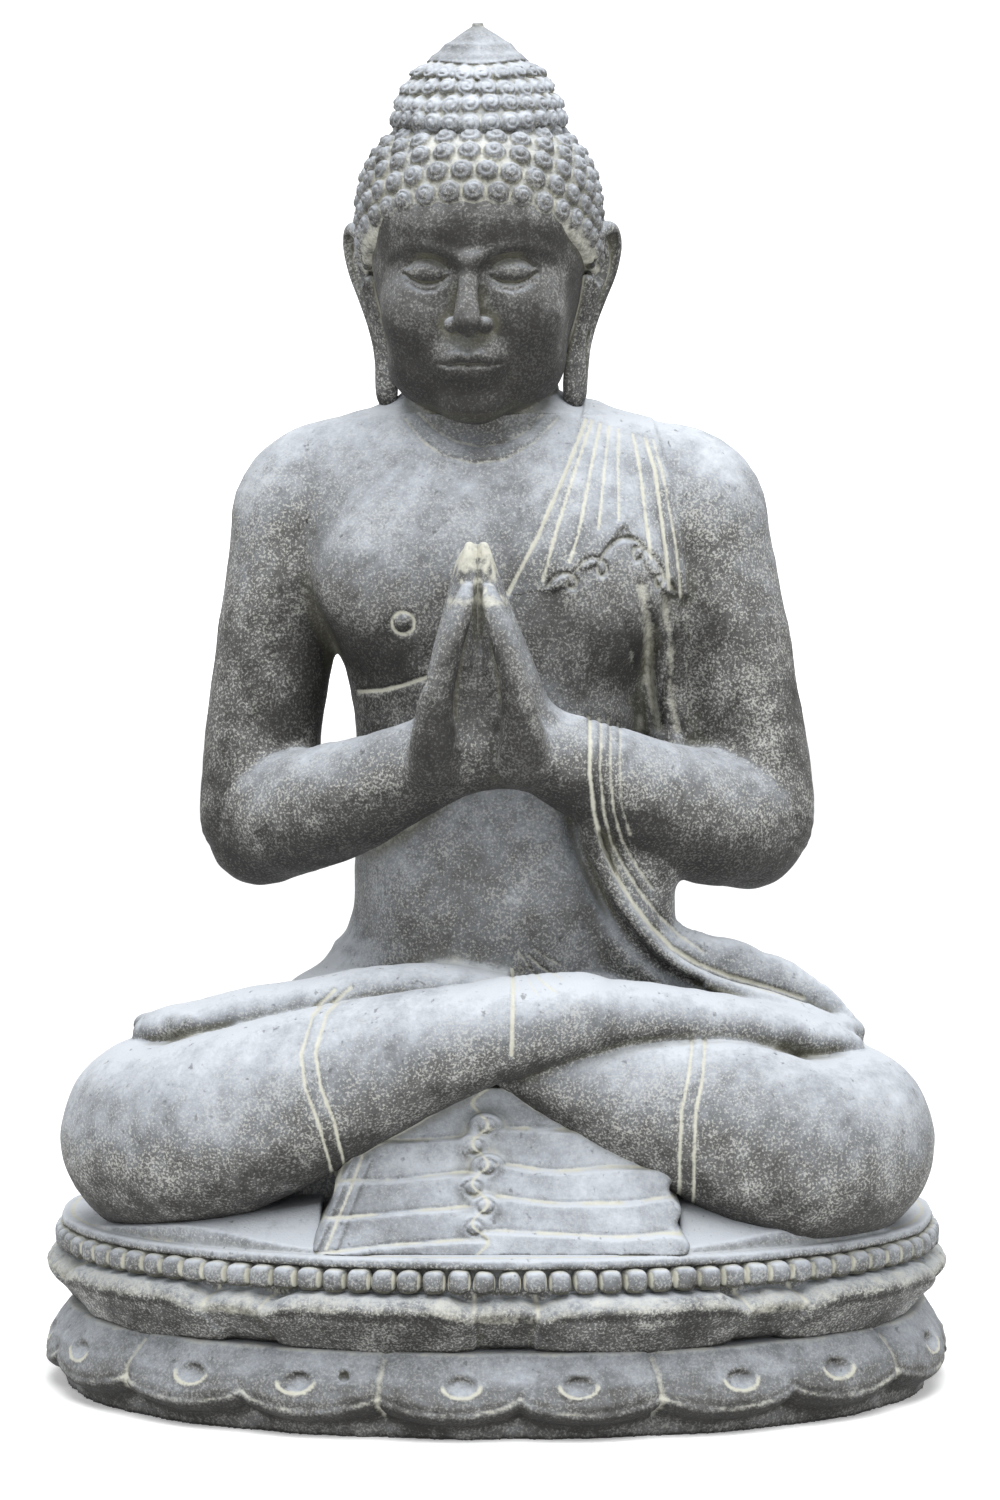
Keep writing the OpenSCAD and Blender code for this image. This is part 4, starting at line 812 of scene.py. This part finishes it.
# ears, in the head's own frame
def ear_parts(s):
    m = lambda rows: [[s * r[0]] + list(r[1:]) for r in rows]
    base = Tube(m([[82, 8, 26, 5, 8], [87, 10, 18, 6.5, 14], [87, 10, 4, 7, 16], [83, 8, -12, 7, 14], [77.5, 5, -32, 7, 11], [73, 2, -54, 7.5, 10], [71, 0, -78, 8.5, 11], [70, -1, -94, 8, 11], [70, -1, -100, 5.5, 7]]), ref=(0, 1, 0))
    helix = Tube(m([[82, -8, 2, 3.8, 3.8], [84, -10, 14, 4.4, 4.4], [88, -5, 24, 5.2, 5.2], [93, 6, 27.5, 5.6, 5.6], [97, 16, 24, 5.6, 5.6], [98.5, 22, 12, 5.2, 5.2], [95, 22, -6, 4.8, 4.8], [88, 17, -24, 4.6, 4.6], [81, 12, -42, 4.6, 4.8], [76, 9, -60, 5.2, 5.2], [73, 7, -80, 6, 6], [71, 2, -95, 6.6, 6.6], [68, -6, -98, 6, 6], [66.5, -10, -84, 5, 5], [68, -8, -64, 4.4, 4.4], [71.5, -7, -44, 4.4, 4.4], [76, -8, -26, 4.6, 4.6], [79.5, -9, -10, 4.8, 4.8]]), ref=(1, 0, 0.001))
    anti = Tube(m([[87, 4, 16, 3.2, 3.2], [91, 12, 8, 3.6, 3.6], [90, 12, -6, 3.6, 3.6], [85, 7, -18, 3.4, 3.4], [80, 0, -26, 3.2, 3.2]]), ref=(1, 0, 0.001))
    bowl = Ell((s * 91, 2, -2), (10, 8.5, 13), rz=s * 12)
    slit = Ell((s * 75, 0, -68), (12, 4.6, 23))
    dip = Ell((s * 97, 9, 16), (7, 7, 8), rz=s * 10)
    return base, helix, anti, bowl, slit, dip
EARS = {-1: ear_parts(-1), 1: ear_parts(1)}
def ear_field(L, s, dep=False):
    base, helix, anti, bowl, slit, dip = EARS[s]
    d = base(L)
    d = smax(d, -bowl(L), 2.5)
    d = smax(d, -slit(L), 2)
    d = smin(d, helix(L), 2.2)
    d = smax(d, -dip(L), 2)
    d = smin(d, anti(L), 2)
    return d

def neck_field(P):
    n = neck(P)
    n = smin(n, neck_fold(P), 5)
    return n

def head_piece(P):
    L = loc(P)
    f = face_field(L)
    n = np.maximum(body(P), neck_zone(P))
    return smin(f, n, 5) + 0.25 * waves(P, 30, 1)


# ------------------------------------------------------------------ pieces
def clip_pair(fn, keep):
    return lambda P: np.maximum(fn(P), keep(P))

def body_piece(name, bed=None):
    def f(P):
        d = np.maximum(body(P), region(name, P))
        if bed is not None:
            d = np.maximum(d, bed(P))
        return d
    return f

above_seat = lambda P: 130.6 - P[:, 2]
# the crossed legs and lap sit on the lower block; the trunk starts above it
def neck_zone(P): return np.maximum(717.2 - P[:, 2], np.hypot(P[:, 0] + 10, P[:, 1] - 14) - 84)
def torso_bed(P): return np.maximum(301.0 - P[:, 2], -(neck_zone(P) + 5.0))
def hollow_torso(P): return 0

sash_core = lambda P: (0.0 - (sash_relief(P) - 0.9)) * 3.0

def sash_field(P):
    # a thin skin of the shoulder where the cloth stands proud
    x, y, z = P[:, 0], P[:, 1], P[:, 2]
    q = sd_poly(x, np.minimum(z, 722), SASH)
    B = body(P)
    return np.maximum(np.maximum(B - 0.25, -(B + 7.0)), np.maximum(q + 0.4, np.maximum(560 - z, z - 717)))

PIECES = []
def plan(name, field, lo, hi, h, dep=None, cavf=None, seam=None):
    PIECES.append((name, field, lo, hi, h, dep, cavf or field))

def bodywise(name, lo, hi, h, bed=None):
    plan(name, body_piece(name, bed), lo, hi, h, body_dep, body)

bodywise("torso", (-200, -130, 296), (200, 120, 745), 1.6, torso_bed)
bodywise("right_upper_arm", (-240, -80, 370), (-70, 90, 730), 1.6)
bodywise("left_upper_arm", (70, -80, 370), (250, 90, 730), 1.6)
bodywise("right_forearm", (-230, -170, 366), (-5, 50, 520), 1.45)
bodywise("left_forearm", (-10, -170, 360), (250, 50, 520), 1.45)
bodywise("right_hand", (-70, -190, 440), (0, -80, 640), 1.2)
bodywise("left_hand", (-30, -190, 440), (50, -80, 640), 1.2)
bodywise("hips", (-230, -140, 128), (230, 180, 330), 2.3, above_seat)
bodywise("right_leg", (-330, -220, 126), (90, 130, 330), 1.5, above_seat)
bodywise("left_leg", (-10, -220, 126), (335, 130, 320), 1.5, above_seat)
bodywise("right_foot", (-40, -215, 240), (290, -40, 330), 1.3)
bodywise("left_foot", (-290, -150, 240), (40, -50, 335), 1.3)
bodywise("forearm_drape", (45, -140, 240), (285, 20, 500), 1.3)

def loc_piece(f):
    return lambda P: f(loc(P))
def dep_face(P):
    return face_field(loc(P), True)
def cap_w(P):
    return cap_field(loc(P))
def head_world(P):
    d = np.maximum(head_piece(P), -(cap_w(P) + 2.5))
    return d
plan("head", head_world, (-130, -130, 712), (100, 110, 930), 1.25, dep_face, lambda P: np.minimum(head_piece(P), cap_w(P)))
plan("hair_cap", cap_w, (-120, -120, 735), (95, 115, 955), 1.1, lambda P: 0.42 * cap_curls(loc(P), True), cap_w)
plan("topknot", loc_piece(knot_field), (-90, -80, 905), (65, 85, 1010), 1.1, lambda P: 0.36 * knot_field(loc(P), True), loc_piece(knot_field))
plan("right_ear", loc_piece(lambda L: np.maximum(ear_field(L, -1), -(skull(L) + 2))), (-135, -50, 710), (-75, 60, 890), 0.9, None, loc_piece(lambda L: np.minimum(ear_field(L, -1), skull(L))))
plan("left_ear", loc_piece(lambda L: np.maximum(ear_field(L, 1), -(skull(L) + 2))), (45, -60, 710), (115, 60, 890), 0.9, None, loc_piece(lambda L: np.minimum(ear_field(L, 1), skull(L))))
plan("forehead_mark", loc_piece(urna), (-40, -120, 830), (10, -70, 880), 0.8, None, loc_piece(urna))
plan("upper_lotus", upper_field, (-343, -238, 54), (343, 238, 158), 2.1, lambda P: upper_field(P, True), upper_field)
plan("lower_lotus", lower_field, (-342, -236, -1), (342, 236, 64), 2.0, lambda P: lower_field(P, True), lower_field)
plan("bead_border", bead_field, (-330, -224, 99), (330, 224, 122), 1.35, lambda P: bead_field(P, True), lambda P: np.minimum(bead_field(P), upper_field(P)))
plan("pleated_cloth", fan_field, (-140, -212, 126), (140, -98, 240), 1.2, lambda P: fan_field(P, True), lambda P: np.minimum(fan_field(P), body(P)))
plan("shoulder_sash", sash_field, (-10, -120, 560), (150, 60, 722), 1.7, body_dep, body)

def normals(P, Q):
    a, b, c, d = (P[Q[:, i]] for i in range(4))
    n = np.cross(c - a, d - b)
    out = np.zeros_like(P)
    for i in range(4):
        np.add.at(out, Q[:, i], n)
    return out / np.maximum(np.linalg.norm(out, axis=1), 1e-9)[:, None]

def cavity(field, P, N, h):
    f = chunks(field, (P + N * h).astype(F))
    return np.clip(1 - f / h, -1, 1)

def make(spec):
    name, field, lo, hi, h, dep, cavf = spec
    pts, quads, _, hh = mesh_of(field, lo, hi, h)
    N = normals(pts, quads)
    # outward normals: the field grows outwards
    k = np.linspace(0, len(pts) - 1, min(400, len(pts))).astype(int)
    s = chunks(field, (pts[k] + N[k] * 0.6).astype(F)) - chunks(field, (pts[k] - N[k] * 0.6).astype(F))
    if np.median(s) < 0:
        quads, N = quads[:, ::-1], -N
    c1 = cavity(cavf, pts, N, 2.6)
    c2 = cavity(cavf, pts, N, 9.0)
    d = chunks(dep, pts.astype(F)) if dep else np.zeros(len(pts), F)
    return name, pts, quads, N, c1, c2, d

import time
_t0 = time.time()
with ThreadPoolExecutor(POOL) as ex:
    built = list(ex.map(make, PIECES))
print("fields meshed in", round(time.time() - _t0, 1), "s")

# ------------------------------------------------------------------ materials
def node(nt, kind, **kw):
    n = nt.nodes.new(kind)
    for k, v in kw.items():
        setattr(n, k, v)
    return n

def M(nt, op, a, b=None, clamp=False):
    n = node(nt, "ShaderNodeMath", operation=op, use_clamp=clamp)
    for i, v in enumerate((a, b)):
        if v is None: continue
        if isinstance(v, (int, float)): n.inputs[i].default_value = v
        else: nt.links.new(v, n.inputs[i])
    return n.outputs[0]

def ramp(nt, fac, stops, interp="LINEAR"):
    n = node(nt, "ShaderNodeValToRGB")
    n.color_ramp.interpolation = interp
    while len(n.color_ramp.elements) < len(stops): n.color_ramp.elements.new(0.5)
    for e, (p, c) in zip(n.color_ramp.elements, stops):
        e.position = p
        e.color = (c, c, c, 1) if isinstance(c, (int, float)) else (*c, 1)
    nt.links.new(fac, n.inputs[0])
    return n.outputs[0]

def mix(nt, fac, a, b, kind="MIX"):
    n = node(nt, "ShaderNodeMix", data_type="RGBA", blend_type=kind)
    for s, v in ((n.inputs[0], fac), (n.inputs[6], a), (n.inputs[7], b)):
        if isinstance(v, (int, float)): s.default_value = v
        elif isinstance(v, tuple): s.default_value = (*v, 1)
        else: nt.links.new(v, s)
    return n.outputs[2]

def noise(nt, co, scale, detail=3, rough=0.6, w=0.0):
    n = node(nt, "ShaderNodeTexNoise", noise_dimensions="4D")
    n.inputs["Scale"].default_value = scale
    n.inputs["Detail"].default_value = detail
    n.inputs["Roughness"].default_value = rough
    n.inputs["W"].default_value = w
    nt.links.new(co, n.inputs["Vector"])
    return n.outputs["Fac"]

DARK = (0.020, 0.0195, 0.019)
MID = (0.068, 0.069, 0.076)
LIGHT = (0.330, 0.345, 0.395)
CREAM = (0.44, 0.425, 0.335)

def stone_material(name="carved_stone", lift=0.0, speck=1.0):
    m = bpy.data.materials.new(name)
    m.use_nodes = True
    nt = m.node_tree
    bsdf = nt.nodes["Principled BSDF"]
    co = node(nt, "ShaderNodeTexCoord").outputs["Object"]
    at = lambda a: node(nt, "ShaderNodeAttribute", attribute_name=a).outputs["Fac"]
    dep, cav, big, up = at("dep"), at("cav"), at("hollow"), at("up")
    n1 = noise(nt, co, 9, 3, 0.6, 1)
    n2 = noise(nt, co, 55, 4, 0.65, 2)
    n3 = noise(nt, co, 560, 2, 0.65, 3)
    n4 = noise(nt, co, 150, 2, 0.6, 4)
    n5 = noise(nt, co, 24, 3, 0.6, 5)
    n6 = noise(nt, co, 260, 3, 0.7, 6)
    # how much the face looks up decides how pale it is: partly weathering, partly painted light on upward faces and
    # painted shade on downward faces
    t = M(nt, "ADD", up, M(nt, "MULTIPLY", M(nt, "SUBTRACT", n1, 0.5), 0.55))
    t = M(nt, "ADD", t, M(nt, "MULTIPLY", M(nt, "SUBTRACT", n2, 0.5), 0.45))
    t = M(nt, "ADD", t, M(nt, "MULTIPLY", M(nt, "SUBTRACT", n5, 0.5), 0.34))
    t = M(nt, "ADD", t, M(nt, "MULTIPLY", M(nt, "SUBTRACT", n6, 0.5), 0.30))
    t = M(nt, "ADD", t, lift)
    base = ramp(nt, t, [(0.0, (0.015, 0.014, 0.013)), (0.2, (0.030, 0.029, 0.027)), (0.38, (0.094, 0.094, 0.092)), (0.55, (0.161, 0.170, 0.181)), (0.75, (0.312, 0.334, 0.365)), (0.95, (0.485, 0.515, 0.555))])
    # dense pale speckle on slopes
    clus = M(nt, "MULTIPLY", M(nt, "SUBTRACT", n5, 0.5), 0.30)
    sp = ramp(nt, M(nt, "ADD", n3, clus), [(0.50, 0.0), (0.62, 1.0)])
    where = ramp(nt, t, [(0.12, 0.12), (0.40, 0.62), (0.62, 0.50), (0.85, 0.18)])
    spk = M(nt, "MULTIPLY", M(nt, "MULTIPLY", sp, where), 0.85 * speck)
    spk = M(nt, "MULTIPLY", spk, at("fleck"))
    col = mix(nt, spk, base, (0.60, 0.60, 0.555))
    # dark pits
    pit = ramp(nt, n4, [(0.28, 1.0), (0.36, 0.0)])
    col = mix(nt, M(nt, "MULTIPLY", pit, 0.5), col, (0.03, 0.03, 0.032))
    # damp brown and green tint in the broad hollows
    gr = M(nt, "MULTIPLY", ramp(nt, big, [(0.25, 0.0), (0.8, 1.0)]), 0.45)
    col = mix(nt, gr, col, mix(nt, n1, (0.085, 0.085, 0.055), (0.16, 0.15, 0.10)))
    # lime in the cut lines and creases
    cr = M(nt, "ADD", cav, M(nt, "MULTIPLY", M(nt, "SUBTRACT", n2, 0.5), 0.9))
    cr = ramp(nt, cr, [(0.46, 0.0), (0.90, 1.0)])
    cr = M(nt, "MULTIPLY", cr, ramp(nt, up, [(0.15, 0.25), (0.5, 0.9)]))
    dd = M(nt, "ADD", dep, M(nt, "MULTIPLY", M(nt, "SUBTRACT", n2, 0.5), 0.9))
    dd = M(nt, "ADD", dd, M(nt, "MULTIPLY", M(nt, "SUBTRACT", n6, 0.5), 0.8))
    dd = ramp(nt, dd, [(0.20, 0.0), (0.72, 1.0)])
    dd = M(nt, "MULTIPLY", dd, ramp(nt, dep, [(0.04, 0.0), (0.16, 1.0)]))
    lime = M(nt, "MAXIMUM", M(nt, "MULTIPLY", cr, 0.7), M(nt, "MULTIPLY", dd, 0.86))
    col = mix(nt, lime, col, mix(nt, n4, CREAM, (0.62, 0.62, 0.55)))
    nt.links.new(col, bsdf.inputs["Base Color"])
    bsdf.inputs["Roughness"].default_value = 0.78
    bsdf.inputs["Specular IOR Level"].default_value = 0.35
    b = node(nt, "ShaderNodeBump")
    b.inputs["Strength"].default_value = 0.7
    b.inputs["Distance"].default_value = 0.0014
    hgt = M(nt, "ADD", M(nt, "MULTIPLY", n3, 0.55), M(nt, "MULTIPLY", n4, 0.5))
    hgt = M(nt, "ADD", hgt, M(nt, "MULTIPLY", n2, 0.5))
    nt.links.new(hgt, b.inputs["Height"])
    nt.links.new(b.outputs[0], bsdf.inputs["Normal"])
    return m

def plain_material(name, col, rough, metal=0.0, var=0.25, scale=60):
    m = bpy.data.materials.new(name)
    m.use_nodes = True
    nt = m.node_tree
    bsdf = nt.nodes["Principled BSDF"]
    co = node(nt, "ShaderNodeTexCoord").outputs["Object"]
    n = noise(nt, co, scale, 4, 0.65, 0)
    lo = tuple(c * (1 - var) for c in col)
    hi = tuple(min(c * (1 + var), 1) for c in col)
    c = mix(nt, n, lo, hi)
    nt.links.new(c, bsdf.inputs["Base Color"])
    bsdf.inputs["Roughness"].default_value = rough
    bsdf.inputs["Metallic"].default_value = metal
    b = node(nt, "ShaderNodeBump")
    b.inputs["Strength"].default_value = 0.3 if metal < 0.5 else 0.08
    b.inputs["Distance"].default_value = 0.0008
    nt.links.new(n, b.inputs["Height"])
    nt.links.new(b.outputs[0], bsdf.inputs["Normal"])
    return m

STONE = stone_material()
MORTAR = plain_material("lime_mortar", (0.42, 0.40, 0.33), 0.9)
STEEL = plain_material("zinc_plated_steel", (0.55, 0.56, 0.58), 0.35, 1.0, 0.12, 25)

LIFT = {"pleated_cloth": 0.05, "upper_lotus": 0.09, "lower_lotus": -0.14, "hair_cap": -0.03, "topknot": 0.09, "bead_border": 0.0, "head": -0.26, "right_ear": -0.10, "left_ear": -0.10,
        "forehead_mark": -0.2, "right_hand": -0.13, "left_hand": -0.13, "right_forearm": -0.10, "left_forearm": -0.12, "right_leg": 0.05, "left_leg": -0.01, "torso": -0.02}
# broad tone patches: centre, radius, change of tone; the first is painted shade on the neck under the chin, the others
# darken or lighten the stone around the arms, hands, cloth and waist
SHADE_AND_TONE_PATCHES = [((-12, -45, 712), 46, -0.30), ((-118, -30, 560), 46, -0.22), ((112, -50, 545), 34, -0.16), ((-90, -60, 610), 40, 0.05), ((-12, -170, 490), 34, -0.18), ((-104, -60, 480), 36, -0.12),
          ((60, -90, 430), 44, -0.10), ((0, -40, 300), 40, 0.06), ((-205, -20, 470), 70, -0.12), ((215, -20, 520), 80, -0.06)]
# tone offsets added to 'up': a lift per piece, the broad patches (the first is painted shade under the chin), and
# darker or lighter bands by height on some pieces
def shade_and_tone_offsets(name, P):
    t = np.full(len(P), LIFT.get(name, 0.0))
    for c, r, v in SHADE_AND_TONE_PATCHES:
        t += v * np.exp(-(((P - np.array(c)) / r) ** 2).sum(1))
    if name.endswith("upper_arm"):
        t -= 0.22 * sstep(680, 540, P[:, 2])
    if name == "upper_lotus":
        t -= 0.24 * sstep(82, 88, P[:, 2]) * sstep(108, 103, P[:, 2])
        t += 0.04 * (P[:, 2] > 112)
    if name == "head":
        t += 0.24 * sstep(744, 718, P[:, 2])
    if name == "topknot":
        t -= 0.14 * sstep(960, 985, P[:, 2])
    if name == "lower_lotus":
        t += 0.06 * sstep(18, 8, P[:, 2])
    return t
FLECK = {"head": 0.5, "lower_lotus": 0.5, "hair_cap": 0.6, "topknot": 0.6, "forehead_mark": 0.4, "right_hand": 0.7, "left_hand": 0.7, "torso": 0.8, "pleated_cloth": 0.6, "bead_border": 0.7}
REPLACED = set()
for name, pts, quads, N, c1, c2, d in built:
    me = bpy.data.meshes.new(name + "_carved")
    V = (pts / 1000.0).astype(np.float32)
    me.vertices.add(len(V))
    me.vertices.foreach_set("co", V.ravel())
    me.loops.add(quads.size)
    me.loops.foreach_set("vertex_index", np.ascontiguousarray(quads, np.int32).ravel())
    me.polygons.add(len(quads))
    me.polygons.foreach_set("loop_start", (np.arange(len(quads)) * 4).astype(np.int32))
    me.update(calc_edges=True)
    me.polygons.foreach_set("use_smooth", np.ones(len(quads), bool))
    # 'up' is how much each point faces up plus tone offsets; it drives painted light on upward faces and painted shade
    # on downward faces over the weathered tone
    for key, val in (("fleck", np.full(len(V), FLECK.get(name, 1.0))), ("dep", d), ("cav", c1 * (0.35 if name == "head" else 1.0)), ("hollow", c2), ("up", np.clip(N[:, 2] * (0.34 if name in ("hair_cap", "topknot") else 0.5) + 0.5 + shade_and_tone_offsets(name, pts), 0, 1))):
        a = me.attributes.new(key, "FLOAT", "POINT")
        a.data.foreach_set("value", np.ascontiguousarray(val, np.float32))
    me.materials.append(STONE)
    ob = bpy.data.objects.new(name + "_carved", me)
    bpy.context.collection.objects.link(ob)
    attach(ob, "root")
    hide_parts(name)
    REPLACED.add(name)
    print(name, len(V), "points", len(quads), "faces", np.round(V.min(0), 3), np.round(V.max(0), 3))

for name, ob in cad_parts.items():
    if name in REPLACED: continue
    mat = MORTAR if name.endswith("mortar_bed") else STEEL
    ob.data.materials.clear()
    ob.data.materials.append(mat)
    for p in ob.data.polygons: p.material_index = 0

# ------------------------------------------------------------------ floor, light, camera
fm = bpy.data.materials.new("floor_white")
fm.use_nodes = True
fb = fm.node_tree.nodes["Principled BSDF"]
fb.inputs["Base Color"].default_value = (0.93, 0.93, 0.93, 1)
fb.inputs["Roughness"].default_value = 0.9
fb.inputs["Specular IOR Level"].default_value = 0.1
fb.inputs["Emission Color"].default_value = (1, 1, 1, 1)
fb.inputs["Emission Strength"].default_value = 0.22
bpy.ops.mesh.primitive_plane_add(size=40, location=(0, 10, 0))
floor = bpy.context.object
floor.name = "floor"
floor.data.materials.append(fm)

def area(name, loc_, aim, size, power, col=(1, 1, 1)):
    l = bpy.data.lights.new(name, "AREA")
    l.shape = "DISK"
    l.size = size
    l.energy = power
    l.color = col
    o = bpy.data.objects.new(name, l)
    o.location = loc_
    from mathutils import Vector
    o.rotation_euler = (Vector(aim) - Vector(loc_)).to_track_quat("-Z", "Y").to_euler()
    bpy.context.collection.objects.link(o)
    return o
area("top", (0.1, -1.2, 3.3), (0, 0, 0.4), 3.2, 150, (0.985, 0.99, 1.0))
area("left", (-2.8, -2.6, 1.3), (0, 0, 0.5), 2.0, 9)
area("right", (2.8, -2.4, 1.3), (0, 0, 0.5), 2.0, 9)
area("front", (0.2, -3.8, 0.8), (0, 0, 0.4), 2.4, 16)
em = bpy.data.materials.new("backdrop_white")
em.use_nodes = True
eb = em.node_tree.nodes["Principled BSDF"]
eb.inputs["Base Color"].default_value = (0.95, 0.95, 0.95, 1)
eb.inputs["Roughness"].default_value = 1.0
eb.inputs["Emission Color"].default_value = (1, 1, 1, 1)
eb.inputs["Emission Strength"].default_value = 0.8
bpy.ops.mesh.primitive_plane_add(size=1, location=(0, 9, 6), rotation=(math.radians(90), 0, 0))
wall = bpy.context.object
wall.name = "backdrop"
wall.scale = (40, 12.2, 1)
wall.data.materials.append(em)
w = bpy.data.worlds.new("studio")
bpy.context.scene.world = w
w.use_nodes = True
w.node_tree.nodes["Background"].inputs[0].default_value = (0.98, 0.99, 1.0, 1)
w.node_tree.nodes["Background"].inputs[1].default_value = 0.42
bpy.context.scene.view_settings.view_transform = "Standard"

cam = bpy.data.cameras.new("camera")
cam.sensor_fit = "VERTICAL"
cam.sensor_height = 36
cam.sensor_width = 24
cam.lens = 97
co_ = bpy.data.objects.new("camera", cam)
from mathutils import Vector
co_.location = (0.002, -3.0, 0.66)
co_.rotation_euler = (Vector((0.002, 0, 0.469)) - Vector(co_.location)).to_track_quat("-Z", "Y").to_euler()
bpy.context.collection.objects.link(co_)
bpy.context.scene.camera = co_

bpy.context.view_layer.update()
